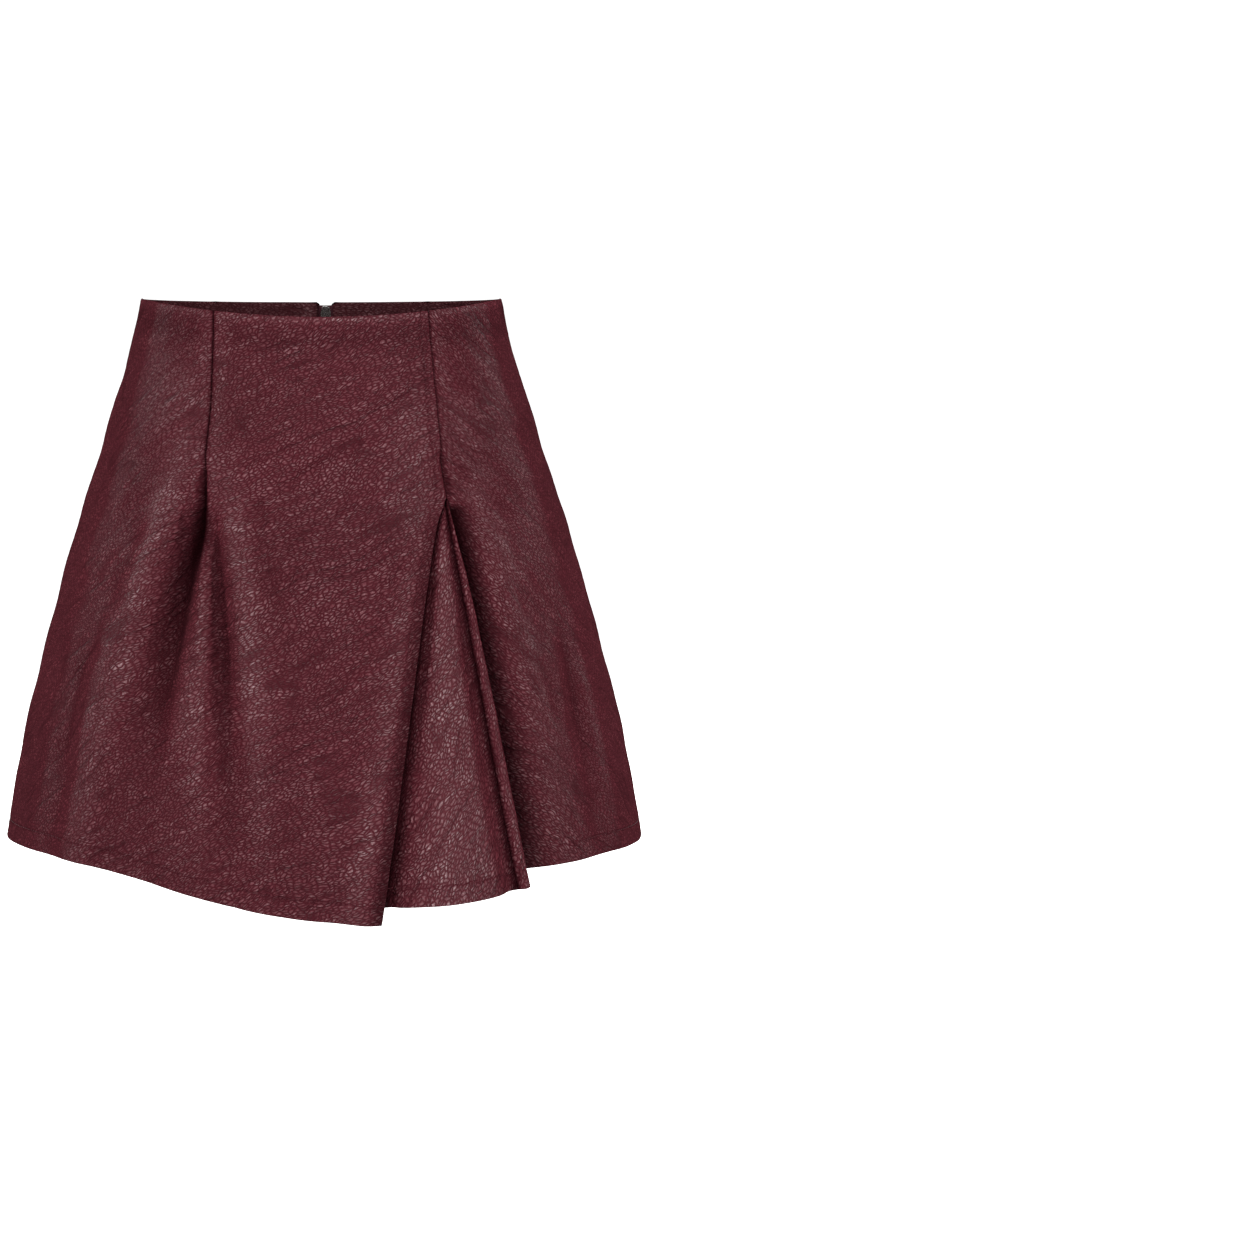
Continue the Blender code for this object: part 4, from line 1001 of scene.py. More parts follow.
def plain_material(name, **sockets):
    material = bpy.data.materials.new(name)
    material.use_nodes = True
    shader = material.node_tree.nodes["Principled BSDF"]
    for key, value in sockets.items():
        shader.inputs[key.replace("_", " ")].default_value = value
    return material, material.node_tree, shader


def shade(colour, factor):
    return tuple(min(channel * factor, 1.0) for channel in colour[:3]) + (1.0,)


def shades(colour, factors):
    return [shade(colour, factor) for factor in factors]


def cloth_place(tree):
    return node(tree, "ShaderNodeUVMap", uv_map="cloth").outputs[0]


def tinted(tree, factor, low, high):
    """A mix of two colours by a factor."""
    mixed = node(tree, "ShaderNodeMix", data_type="RGBA")
    tree.links.new(factor, mixed.inputs[0])
    for socket, colour in ((6, low), (7, high)):
        if isinstance(colour, bpy.types.NodeSocket):
            tree.links.new(colour, mixed.inputs[socket])
        else:
            mixed.inputs[socket].default_value = colour
    return mixed.outputs[2]


# How the leather's colour and gloss follow its grain, its painted shade and highlights, and its turn away
# from the eye, at which painted highlights and a painted sheen grow. A "turn" is how far the leather faces
# away where a change starts and where it is full.
CLOUD_SCALE = 11.0
CLOUD_RANGE = (0.3, 0.7)
CLOUD_SHADES = (0.93, 1.06)
CREST_TURN = (0.15, 0.6)
CREST_TINTS = (0.50, 0.95)
CREST_TINT_PAINTED_HIGHLIGHT = 0.24
VALLEY_TINT = 0.66
VALLEY_SHADE = 0.45
PAINTED_HIGHLIGHT_TINT = 0.12
# The painted sheen at a slant: where it starts and is full, and how strong it is.
PAINTED_SHEEN_TURN = (0.15, 0.65)
PAINTED_SHEEN_TINT = 0.18
GLOSS_TURN = (0.06, 0.52)
CREST_GLOSS = 2.4
OPEN_GLOSS = 0.24
VALLEY_GLOSS = -0.6
PAINTED_HIGHLIGHT_GLOSS = 2.2
SLOW_ROUGH = -0.06


def leather(name, look, colour, grain, depth, roughness, contrast=1.0):
    """A soft hide, with painted shade in its cracks and hollows and painted highlights on its crests, which
    are glossier too.
    """
    material, tree, shader = plain_material(name)
    place = cloth_place(tree)
    marks = node(tree, "ShaderNodeGroup", node_tree=grain)
    scales = {"Pebbles": 1 / look.pebble_size, "Crests": 1 / look.crest_size, "Creases": 1 / look.crease_size}
    for label, value in scales.items():
        marks.inputs[label].default_value = value
    tree.links.new(place, marks.inputs["Place"])
    crests, valleys = marks.outputs["Crest"], marks.outputs["Valley"]
    # Each point's painted shade, above 0, and painted highlight, below 0.
    painted_tone = node(tree, "ShaderNodeAttribute", attribute_name="wear").outputs["Fac"]
    hollow = sums(tree, "MAXIMUM", painted_tone, 0.0)
    painted_highlight = sums(tree, "MAXIMUM", sums(tree, "MULTIPLY", painted_tone, -1.0), 0.0)
    open_cloth = sums(tree, "SUBTRACT", 1.0, hollow)
    facing = node(tree, "ShaderNodeLayerWeight", {"Blend": 0.5}).outputs["Facing"]
    cloud = between(tree, noise(tree, place, CLOUD_SCALE, detail=3.0), *CLOUD_RANGE)
    tint = tinted(tree, cloud, *shades(colour, CLOUD_SHADES))
    # Painted highlights on the grain's crests, stronger at a slant; painted shade in its cracks; painted
    # highlights; a painted sheen at a slant; painted shade in the hollows.
    paler = between(tree, facing, *CREST_TURN, *(contrast * share for share in CREST_TINTS))
    paler = sums(tree, "MULTIPLY_ADD", painted_highlight, CREST_TINT_PAINTED_HIGHLIGHT, paler)
    steps = (
        (sums(tree, "MULTIPLY", crests, paler), look.crest_colour),
        (sums(tree, "MULTIPLY", valleys, VALLEY_TINT * contrast), shade(colour, VALLEY_SHADE)),
        (sums(tree, "MULTIPLY", painted_highlight, PAINTED_HIGHLIGHT_TINT), look.crest_colour),
        (between(tree, facing, *PAINTED_SHEEN_TURN, 0.0, PAINTED_SHEEN_TINT * contrast), look.painted_sheen_colour),
        (hollow, shade(colour, look.hollow_shade)),
    )
    for factor, towards in steps:
        tint = tinted(tree, factor, tint, towards)
    tree.links.new(tint, shader.inputs["Base Color"])
    gloss = between(tree, facing, *GLOSS_TURN, look.gloss, 0.0)
    polish = sums(tree, "MULTIPLY_ADD", crests, CREST_GLOSS * contrast, OPEN_GLOSS)
    polish = sums(tree, "MULTIPLY", polish, sums(tree, "MULTIPLY_ADD", valleys, VALLEY_GLOSS, 1.0))
    polish = sums(tree, "MULTIPLY", polish, sums(tree, "MULTIPLY_ADD", painted_highlight, PAINTED_HIGHLIGHT_GLOSS, 1.0))
    polish = sums(tree, "MULTIPLY", polish, open_cloth)
    tree.links.new(sums(tree, "MULTIPLY", gloss, polish), shader.inputs["Specular IOR Level"])
    rough = sums(tree, "MULTIPLY_ADD", marks.outputs["Slow"], SLOW_ROUGH, roughness)
    tree.links.new(rough, shader.inputs["Roughness"])
    bumped(tree, shader, marks.outputs["Height"], depth, 1.0)
    return material


def bumped(tree, shader, height, distance, strength):
    inputs = {"Strength": strength, "Distance": distance, "Height": height}
    tree.links.new(node(tree, "ShaderNodeBump", inputs).outputs[0], shader.inputs["Normal"])


# The woven tape, the spun thread and the nickel: scales in repeats a metre, their darkest and palest shades,
# and each relief's height in metres and its strength.
WEAVE = ((340.0, "Y"), (300.0, "X"))
WEAVE_WANDER = 0.4
WEAVE_SHADES = (0.6, 1.3)
WEAVE_RELIEF = (0.0002, 0.6)
SPUN_SCALE = 900.0
SPUN_SHADES = (0.7, 1.3)
SPUN_RANGE = (0.2, 0.8)
SPUN_ROUGHER = 0.08
SPUN_RELIEF = (0.0001, 0.4)
NICKEL_SCALE = 260.0
NICKEL_SHADES = (0.9, 1.08)
SCUFF_SCALE = 1600.0
SCUFF_RANGE = (0.25, 0.75)
SCUFF_ROUGHNESS = (0.2, 0.34)
SCUFF_RELIEF = (0.00005, 0.12)


def woven(name, colour):
    """A plain woven tape."""
    material, tree, shader = plain_material(name, Roughness=0.85, Specular_IOR_Level=0.15)
    inputs = {"Vector": cloth_place(tree), "Distortion": WEAVE_WANDER}
    weft, warp = (node(tree, "ShaderNodeTexWave", {**inputs, "Scale": scale}, wave_type="BANDS",
                       bands_direction=along).outputs["Fac"] for scale, along in WEAVE)
    weave = sums(tree, "MAXIMUM", weft, warp)
    tree.links.new(tinted(tree, weave, *shades(colour, WEAVE_SHADES)), shader.inputs["Base Color"])
    bumped(tree, shader, weave, *WEAVE_RELIEF)
    return material


def solid_noise(tree, scale, detail=2.0):
    """A noise in the object's own space."""
    place = node(tree, "ShaderNodeTexCoord").outputs["Object"]
    return node(tree, "ShaderNodeTexNoise", {"Vector": place, "Scale": scale, "Detail": detail}).outputs[0]


def spun(name, colour, roughness):
    """Thread or coil filament, uneven along its length."""
    material, tree, shader = plain_material(name, Specular_IOR_Level=0.12)
    uneven = solid_noise(tree, SPUN_SCALE)
    tree.links.new(tinted(tree, uneven, *shades(colour, SPUN_SHADES)), shader.inputs["Base Color"])
    rough = between(tree, uneven, *SPUN_RANGE, roughness - SPUN_ROUGHER, roughness + SPUN_ROUGHER)
    tree.links.new(rough, shader.inputs["Roughness"])
    bumped(tree, shader, uneven, *SPUN_RELIEF)
    return material


def nickel(name, colour):
    """Tumbled nickel plate with faint cloudiness and fine scuffs."""
    material, tree, shader = plain_material(name, Metallic=1.0)
    cloud = solid_noise(tree, NICKEL_SCALE, detail=3.0)
    scuffs = solid_noise(tree, SCUFF_SCALE)
    tree.links.new(tinted(tree, cloud, *shades(colour, NICKEL_SHADES)), shader.inputs["Base Color"])
    tree.links.new(between(tree, scuffs, *SCUFF_RANGE, *SCUFF_ROUGHNESS), shader.inputs["Roughness"])
    bumped(tree, shader, scuffs, *SCUFF_RELIEF)
    return material


INSIDE_ROUGHNESS = 0.68
INSIDE_CONTRAST = 0.6
INSIDE_GRAIN = 0.5
THREAD_ROUGHNESS = 0.5


def kept(make, name, *values):
    """The material of this name, made the first time that a piece asks for it."""
    return bpy.data.materials.get(name) or make(name, *values)


def kept_grain():
    return bpy.data.node_groups.get("hide_grain") or hide_grain_group()


def hide_material(scene):
    look = scene.skirt_leather
    return kept(leather, "burgundy leather", look, look.colour, kept_grain(), look.grain_depth,
                look.roughness)


def inside_material(scene):
    look = scene.skirt_leather
    return kept(leather, "leather inside", look, look.inside_colour, kept_grain(),
                look.grain_depth * INSIDE_GRAIN, INSIDE_ROUGHNESS, INSIDE_CONTRAST)


# ---------------------------------------------------------------- settings

class LeatherLook(bpy.types.PropertyGroup):
    colour: FloatVectorProperty(
        name="Leather", description="Colour of the leather's face", subtype="COLOR", size=4, min=0, max=1,
        default=(0.096, 0.0150, 0.0228, 1))
    inside_colour: FloatVectorProperty(
        name="Inside", description="Colour of the facing and the panels' inside", subtype="COLOR", size=4,
        min=0, max=1, default=(0.040, 0.0072, 0.010, 1))
    thread_colour: FloatVectorProperty(
        name="Thread", description="Colour of the topstitching", subtype="COLOR", size=4, min=0, max=1,
        default=(0.075, 0.015, 0.021, 1))
    # The colour painted on crests and ridges as highlights.
    crest_colour: FloatVectorProperty(
        name="Crests", description="Colour of the leather's rubbed crests", subtype="COLOR", size=4, min=0,
        max=1, default=(0.24, 0.055, 0.07, 1))
    # The colour of the painted sheen where the leather is seen at a slant.
    painted_sheen_colour: FloatVectorProperty(
        name="Bloom", description="Colour of the faint bloom, seen at a slant", subtype="COLOR", size=4,
        min=0, max=1, default=(0.12, 0.042, 0.050, 1))
    hollow_shade: FloatProperty(
        name="Hollow shade", description="How dark the leather is deep in its folds", subtype="FACTOR",
        min=0, max=1, default=0.08)
    gloss: FloatProperty(
        name="Gloss", description="How strongly the leather reflects, seen straight on", subtype="FACTOR",
        min=0, max=1, default=0.46)
    roughness: FloatProperty(
        name="Roughness", description="How dull the leather is", subtype="FACTOR", min=0, max=1,
        default=0.42)
    pebble_size: FloatProperty(
        name="Pebble size", description="Size of one pebble of the grain", unit="LENGTH", default=0.00148,
        min=0.0005)
    crest_size: FloatProperty(
        name="Crest spacing", description="Spacing of the wavy crests", unit="LENGTH", default=0.0075,
        min=0.001)
    crease_size: FloatProperty(
        name="Crease spacing", description="Spacing of the long fine creases", unit="LENGTH", default=0.017,
        min=0.002)
    grain_depth: FloatProperty(
        name="Grain depth", description="Height of the grain's relief", unit="LENGTH", default=0.0022, min=0)


class ClothSizes(bpy.types.PropertyGroup):
    grid_step: FloatProperty(
        name="Grid step", description="Spacing of the leather's mesh", unit="LENGTH", default=0.0022,
        min=0.001)
    hem_turn_up: FloatProperty(
        name="Hem turn-up", description="Height of the doubled hem", unit="LENGTH", default=0.013, min=0.002)
    stitch_pitch: FloatProperty(
        name="Stitch pitch", description="Length from stitch to stitch", unit="LENGTH", default=0.0031,
        min=0.001)
    stitch_length: FloatProperty(
        name="Stitch length", description="Length of thread that shows in a stitch", unit="LENGTH",
        default=0.0024, min=0.0005)
    thread_width: FloatProperty(
        name="Thread width", description="Width of the sewing thread", unit="LENGTH", default=0.00046,
        min=0.0001)


class ZipLook(bpy.types.PropertyGroup):
    metal_colour: FloatVectorProperty(
        name="Nickel", description="Colour of the slider, pull and stop", subtype="COLOR", size=4, min=0,
        max=1, default=(0.40, 0.39, 0.375, 1))
    tape_colour: FloatVectorProperty(
        name="Tape", description="Colour of the woven tapes", subtype="COLOR", size=4, min=0, max=1,
        default=(0.035, 0.008, 0.012, 1))
    coil_colour: FloatVectorProperty(
        name="Coil", description="Colour of the coil's teeth", subtype="COLOR", size=4, min=0, max=1,
        default=(0.010, 0.003, 0.004, 1))
    tooth_pitch: FloatProperty(
        name="Tooth pitch", description="Spacing of the coil's teeth down one side", unit="LENGTH",
        default=0.00125, min=0.0004)
    stop_colour: FloatVectorProperty(
        name="Stop", description="Colour of the lacquered bottom stop", subtype="COLOR", size=4, min=0,
        max=1, default=(0.05, 0.010, 0.014, 1))
    metal_round: FloatProperty(
        name="Metal rounding", description="Rounding of the metal's edges", unit="LENGTH", default=0.00018,
        min=0)


class StudioLook(bpy.types.PropertyGroup):
    floor_level: FloatProperty(
        name="Floor", description="Height of the floor", unit="LENGTH", default=-0.62)
    key_power: FloatProperty(
        name="Key lights", description="Power of the large light above each face", unit="POWER",
        default=36.0, min=0)
    fill_power: FloatProperty(
        name="Fill lights", description="Power of the light level with each face", unit="POWER",
        default=8.0, min=0)
    floor_power: FloatProperty(
        name="Floor light", description="Power of the light overhead", unit="POWER", default=40.0, min=0)
    ambient: FloatProperty(
        name="Ambient", description="Strength of the light from all round", default=0.16, min=0)


# ---------------------------------------------------------------- the skirt's pieces

def on_front(read):
    return lambda drop: bearing_of(read(drop), drop, FRONT)


def on_back(read):
    return lambda drop: bearing_of(read(drop), drop, BACK)


def at(value):
    return lambda there: np.full(np.shape(there), float(value))


def front_panel_edge(drop):
    return np.where(drop < FRONT_PLEAT.apex, front_left_seam_x(drop), free_edge_x(drop))


def left_side_edge(drop):
    under = front_band_edge_x(drop) - tuck_width(FRONT_PLEAT, drop)
    return np.where(drop < FRONT_PLEAT.apex, front_left_seam_x(drop), under)


def back_left_edge(drop):
    return np.where(drop < BACK_PLEAT.apex, ZIP_X + slot_half(drop) - SEAM_HALF, back_band_seam_x(drop))


def back_right_edge(drop):
    under = back_band_edge_x(drop) + tuck_width(BACK_PLEAT, drop)
    return np.where(drop < BACK_PLEAT.apex, ZIP_X - slot_half(drop) + SEAM_HALF, under)


def underlay_edge(drop):
    return free_edge_x(drop) - mix(UNDERLAY_TUCK_TOP, UNDERLAY_TUCK_HEM, pleat_share(FRONT_PLEAT, drop))


def beside_zip(distance):
    return lambda drop: bearing_of(ZIP_X + distance, drop, BACK)


def facing_top(bearing):
    return waist_drop(bearing) + FACING_TOP_MARGIN


def facing_hem(bearing):
    return waist_drop(bearing) + FACING_HEIGHT


def facing_depth(bearing, drop):
    """The facing lies deeper in beside the zip, to leave room for the tapes."""
    from_zip = np.abs(sideways(bearing, drop) - ZIP_X)
    near = 1 - ease((from_zip - FACING_DEEP_WITHIN) / FACING_DEEP_FADE)
    return mix(FACING_DEPTH, FACING_DEPTH_AT_ZIP, near)


def cut(name, offset, start, end, edges, grain, top=waist_drop, hem=hem_drop, released=(None, None),
        depth=0.0, cloth=CLOTH, turned=HEM_CLOTH - CLOTH, shaded=None):
    return Cut(name + "_cloth", name, offset, start, end, top, hem, edges, released, depth, cloth, turned,
               grain, shaded)


# The shade that a band casts on the panel under it: it comes in from share "begins" of the pleat over "fade",
# starts "gap" from the band's edge, and reaches from "top" to "hem" millimetres at the pleat's two ends.
BandShade = namedtuple("BandShade", "dark begins fade gap top hem")
FRONT_BAND_SHADE = BandShade(0.96, 0.0, 0.03, 2.0, 8.5, 23.0)
BACK_BAND_SHADE = BandShade(0.94, 0.12, 0.3, 1.0, 2.5, 13.0)

# The underlay's shade by its two sides, over a share of what shows at most, and the painted highlight on its
# middle.
FREE_EDGE_SHADE = 0.96
FREE_EDGE_SHADE_GAP = 1.0
FREE_EDGE_SHADE_REACH = (2.0, 8.0)
FREE_EDGE_SHADE_SHARE = 0.3
BAND_SIDE_SHADE = 0.85
BAND_SIDE_SHADE_GAP = 0.5
BAND_SIDE_SHADE_REACH = 4.0
BAND_SIDE_SHADE_SHARE = 0.2
LEAST_SHADE = 0.04
UNDERLAY_PALE = 0.95
UNDERLAY_PALE_AT = 0.47
UNDERLAY_PALE_HALF = 0.22
UNDERLAY_PALE_FADE = 0.1

# The front panel's shade where its free edge rolls under, at the pleat's top and at the hem.
ROLLED_SHADE = (0.4, 0.62)
ROLLED_SHADE_FADE = 0.1
ROLLED_SHADE_REACH = (8.0, 19.0)


def under_band(pleat, edge_x, tone):
    """A panel's shade beside the band that lies over it."""
    def read(bearing, drop):
        share = pleat_share(pleat, drop)
        past = pleat.towards * (sideways(bearing, drop) - edge_x(drop))
        begun = ease((share - tone.begins) / tone.fade)
        return tone.dark * begun * bell(np.maximum(past - tone.gap, 0.0), mix(tone.top, tone.hem, share))

    return read


under_front_band = under_band(FRONT_PLEAT, front_band_edge_x, FRONT_BAND_SHADE)
under_back_band = under_band(BACK_PLEAT, back_band_edge_x, BACK_BAND_SHADE)


def under_free_edge(bearing, drop):
    """The underlay's shade along the front panel's free edge and beside the band, and the painted highlight
    on its middle.
    """
    share = pleat_share(FRONT_PLEAT, drop)
    shown = np.maximum(front_band_seam_x(drop) - free_edge_x(drop), 1.0)
    past = sideways(bearing, drop) - free_edge_x(drop)
    free_reach = np.minimum(mix(*FREE_EDGE_SHADE_REACH, share), FREE_EDGE_SHADE_SHARE * shown)
    band_reach = np.minimum(BAND_SIDE_SHADE_REACH, BAND_SIDE_SHADE_SHARE * shown)
    by_free = FREE_EDGE_SHADE * bell(np.maximum(past - FREE_EDGE_SHADE_GAP, 0.0), free_reach)
    by_band = BAND_SIDE_SHADE * bell(np.maximum(shown - past - BAND_SIDE_SHADE_GAP, 0.0), band_reach)
    dark = np.maximum(by_free, by_band)
    pale = UNDERLAY_PALE * bell(past / shown - UNDERLAY_PALE_AT, UNDERLAY_PALE_HALF)
    return np.where(dark > LEAST_SHADE, dark, -pale * ease(share / UNDERLAY_PALE_FADE))


def by_free_edge(bearing, drop):
    """The front panel's own shade where its free edge rolls under, and in the pleat at its other side."""
    inward = free_edge_x(drop) - sideways(bearing, drop)
    share = pleat_share(FRONT_PLEAT, drop)
    by_edge = 1 - ease(inward / mix(*ROLLED_SHADE_REACH, share))
    rolled = mix(*ROLLED_SHADE, share) * ease(share / ROLLED_SHADE_FADE) * by_edge
    return np.maximum(rolled, in_front_wedge(bearing, drop))


def back_wedge_dark(drop):
    start, full, fades, end = BACK_WEDGE
    return ease((drop - start) / (full - start)) * (1 - ease((drop - fades) / (end - fades)))


def back_wedge_width(drop):
    start, end = BACK_WEDGE_WIDENS
    return mix(*BACK_WEDGE_WIDTHS, ease((drop - start) / (end - start)))


def in_front_wedge(bearing, drop):
    """Painted shade in the fold beside the front right seam, where the pleat opens."""
    past = wedge_x(drop) - sideways(bearing, drop)
    wide = np.where(past > 0, wedge_left_width(drop), wedge_right_width(drop))
    return wedge_dark(drop) * bell(past, wide)


def in_back_wedges(bearing, drop):
    """Painted shade in the folds below the two back seams."""
    left = np.abs(sideways(bearing, drop) - back_left_wedge_x(drop))
    right = np.abs(sideways(bearing, drop) - back_right_wedge_x(drop))
    return back_wedge_dark(drop) * bell(np.minimum(left, right), back_wedge_width(drop))


def in_back_right_panel(bearing, drop):
    return np.maximum(in_back_wedges(bearing, drop), under_back_band(bearing, drop))


def panel_cuts():
    """The seven full-height panels, round the body from the front."""
    seams = (SEAM, SEAM, WAIST, HEM)
    front_left, front_right = FRONT_PLEAT.apex, FRONT_RIGHT_RELEASED
    back_left, back_right = BACK_LEFT_RELEASED, BACK_RIGHT_RELEASED
    return (
        cut("front_panel", front_offset, on_front(front_right_seam_x), on_front(front_panel_edge),
            (SEAM, STITCHED_FREE, WAIST, HEM), 30, hem=front_hem, released=(front_right, front_left),
            shaded=by_free_edge),
        cut("front_right_side_panel", folds, at(RIGHT_SIDE_FRONT), on_front(front_right_seam_x), seams, 38,
            released=(None, front_right), shaded=in_front_wedge),
        cut("front_left_side_panel", left_side_offset, on_front(left_side_edge), at(LEFT_SIDE), seams, -38,
            released=(front_left, None), shaded=under_front_band),
        cut("back_left_side_panel", folds, at(LEFT_SIDE), on_back(back_left_seam_x), seams, 36,
            released=(None, back_left), shaded=in_back_wedges),
        cut("back_left_panel", back_left_offset, on_back(back_left_seam_x), on_back(back_left_edge),
            (SEAM, ZIP_EDGE, WAIST, HEM), -24, released=(back_left, None), shaded=in_back_wedges),
        cut("back_right_panel", back_right_offset, on_back(back_right_edge), on_back(back_right_seam_x),
            (ZIP_EDGE, SEAM, WAIST, HEM), 24, hem=back_right_hem, released=(None, back_right),
            shaded=in_back_right_panel),
        cut("back_right_side_panel", folds, on_back(back_right_seam_x), at(RIGHT_SIDE_BACK), seams, -36,
            released=(back_right, None), shaded=in_back_wedges),
    )


def pleat_cuts():
    """The front underlay and the narrow bands that finish the two layered pleats."""
    return (
        cut("front_underlay", underlay_offset, on_front(underlay_edge), on_front(front_band_seam_x),
            (PLAIN, SEAM, PLAIN, HEM), 64, top=at(UNDERLAY_START), hem=underlay_hem, shaded=under_free_edge),
        cut("front_band", front_band_offset, on_front(front_band_seam_x), on_front(front_band_edge_x),
            (SEAM, FREE, PLAIN, HEM), 74, top=at(FRONT_BAND_START), hem=underlay_hem),
        cut("back_band", back_band_offset, on_back(back_band_seam_x), on_back(back_band_edge_x),
            (SEAM, FREE, PLAIN, HEM), 74, top=at(BACK_BAND_START)),
    )


def facing_cuts():
    edges = (SEAM, FREE, PLAIN, FREE)
    sides = (("back_left_facing", at(LEFT_SIDE), beside_zip(FACING_FROM_ZIP)),
             ("back_right_facing", beside_zip(-FACING_FROM_ZIP), at(RIGHT_SIDE_BACK)))
    return tuple(cut(name, folds, start, end, edges, 10, top=facing_top, hem=facing_hem, depth=facing_depth,
                     cloth=FACING_CLOTH, turned=0.0) for name, start, end in sides)


def tape_cuts():
    sides = (("zip_left_tape", beside_zip(TAPE_OUTER), beside_zip(TAPE_INNER)),
             ("zip_right_tape", beside_zip(-TAPE_INNER), beside_zip(-TAPE_OUTER)))
    return tuple(cut(name, folds, start, end, (PLAIN,) * 4, 0, top=at(TAPE_TOP), hem=at(TAPE_END),
                     depth=TAPE_DEPTH, cloth=TAPE_THICK, turned=0.0) for name, start, end in sides)


# Each piece's place on the hide follows from its number. Pieces are numbered on from these.
PANELS_FROM = 1
PLEATS_FROM = 11
FACINGS_FROM = 21
TAPES_FROM = 31

ROW_MARGIN = 1.0
THREAD_OUT = 0.35
THREAD_FLAT = 0.9
FREE_EDGE_ROW = (146.0, 396.0)

# The zip's coil: teeth either side of a narrow core. Sizes are half sizes.
TOOTH = (0.92 * MM, 0.36 * MM, 0.5 * MM)
TOOTH_ASIDE = 0.45
TOOTH_DEPTH = CHAIN_DEPTH - 0.35
TEETH_END = CHAIN_END - 0.5
CORE_WIDTH = 3.6
CORE_THICK = 0.5
CORE_DEPTH = CHAIN_DEPTH + 0.2
CORE_STEPS = 24
METAL_JOINED_WITHIN = 0.00001
METAL_EDGE_ANGLE = math.radians(35)


def sew(piece_cut, scene, materials, index):
    laid = lay_cloth(piece_cut, scene.skirt_cloth)
    place = turned_place(laid.flat_place, piece_cut.grain, index)
    piece = shell(piece_cut.name, laid, place, materials)
    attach(piece, "skirt")
    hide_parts(piece_cut.node)
    return laid


def bead(mesh, centre, axes, size, lengthwise=False):
    """A rounded bead on these three axes. Its poles lie on the third axis, or lengthwise on the first."""
    place = Matrix.Translation(centre) @ Matrix(axes).transposed().to_4x4() @ Matrix.Diagonal((*size, 1.0))
    if lengthwise:
        place = place @ Matrix.Rotation(math.pi / 2, 4, "Y")
    bmesh.ops.create_uvsphere(mesh, u_segments=8, v_segments=5, radius=1.0, matrix=place)


def point_along(along, path, distance):
    return Vector([np.interp(distance, along, path[:, axis]) for axis in range(3)])


def stitch_row(mesh, path, normals, sizes):
    """Stitches along a line of points, each a rounded length of thread lying in the leather."""
    steps = np.linalg.norm(np.diff(path, axis=0), axis=1)
    along = np.concatenate([[0.0], np.cumsum(steps)])
    pitch, length = sizes.stitch_pitch / MM, sizes.stitch_length / MM
    count = int((along[-1] - 2 * ROW_MARGIN) // pitch)
    half = sizes.thread_width / 2
    for start in ROW_MARGIN + np.arange(count) * pitch:
        ends = [point_along(along, path, at_length) for at_length in (start, start + length)]
        out = point_along(along, normals, start + length / 2).normalized()
        tangent = (ends[1] - ends[0]).normalized()
        side = out.cross(tangent).normalized()
        centre = (ends[0] + ends[1]) / 2 * MM + out * half * THREAD_OUT
        bead(mesh, centre, (tangent, side, out), (length / 2 * MM, half, half * THREAD_FLAT), lengthwise=True)


def stitched(name, rows, scene):
    """One mesh of all the stitches of a piece."""
    mesh = bmesh.new()
    for path, normals in rows:
        stitch_row(mesh, path, normals, scene.skirt_cloth)
    for face in mesh.faces:
        face.smooth = True
    data = mesh_data(name, mesh)
    thread = kept(spun, "burgundy thread", scene.skirt_leather.thread_colour, THREAD_ROUGHNESS)
    piece = finished(name, data, [thread])
    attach(piece, "skirt")


def hem_row(laid):
    """The line of a piece's hem stitches."""
    from_hem = laid.distances[3]
    row = int(np.argmin(np.abs(from_hem[:, from_hem.shape[1] // 2] - HEM_STITCH)))
    return laid.outer[row], laid.normals[row]


def free_edge_row(laid):
    """The line of stitches down the front panel's free edge."""
    column = int(np.argmin(np.abs(laid.distances[1][-1] - FREE_EDGE_STITCH)))
    drop = laid.drop[:, column]
    keep = (drop > FREE_EDGE_ROW[0]) & (drop < FREE_EDGE_ROW[1])
    return laid.outer[keep, column], laid.normals[keep, column]


class SKIRT_OT_panels(bpy.types.Operator):
    """Lay the seven leather panels and sew their hems"""
    bl_idname = "skirt.panels"
    bl_label = "Leather panels"

    def execute(self, context):
        scene = context.scene
        materials = [hide_material(scene), inside_material(scene)]
        for index, piece_cut in enumerate(panel_cuts()):
            laid = sew(piece_cut, scene, materials, PANELS_FROM + index)
            rows = [hem_row(laid)]
            if piece_cut.node == "front_panel":
                rows.append(free_edge_row(laid))
            stitched(piece_cut.node + "_topstitch", rows, scene)
        return {"FINISHED"}


class SKIRT_OT_pleats(bpy.types.Operator):
    """Lay the underlay and the two narrow bands of the layered pleats"""
    bl_idname = "skirt.pleats"
    bl_label = "Pleat layers"

    def execute(self, context):
        scene = context.scene
        materials = [hide_material(scene), inside_material(scene)]
        for index, piece_cut in enumerate(pleat_cuts()):
            laid = sew(piece_cut, scene, materials, PLEATS_FROM + index)
            stitched(piece_cut.node + "_topstitch", [hem_row(laid)], scene)
        return {"FINISHED"}


class SKIRT_OT_facings(bpy.types.Operator):
    """Lay the facings inside the back waist"""
    bl_idname = "skirt.facings"
    bl_label = "Back facings"

    def execute(self, context):
        scene = context.scene
        material = inside_material(scene)
        for index, piece_cut in enumerate(facing_cuts()):
            sew(piece_cut, scene, [material, material], FACINGS_FROM + index)
        return {"FINISHED"}


def zip_point(x, drop, depth):
    """A point beside the zip's centre, depth in from the cloth's face, with the face's normal."""
    at_x = np.array([[x - 0.5, x + 0.5]] * 2)
    at_drop = np.array([[drop - 0.5] * 2, [drop + 0.5] * 2])
    bearing = bearing_of(at_x, at_drop, BACK)
    points = placed(bearing, at_drop, folds(bearing, at_drop))
    normal = np.cross(points[1, 0] - points[0, 0], points[0, 1] - points[0, 0])
    normal = -normal / np.linalg.norm(normal)
    return Vector(points.mean(axis=(0, 1)) - normal * depth), Vector(normal)


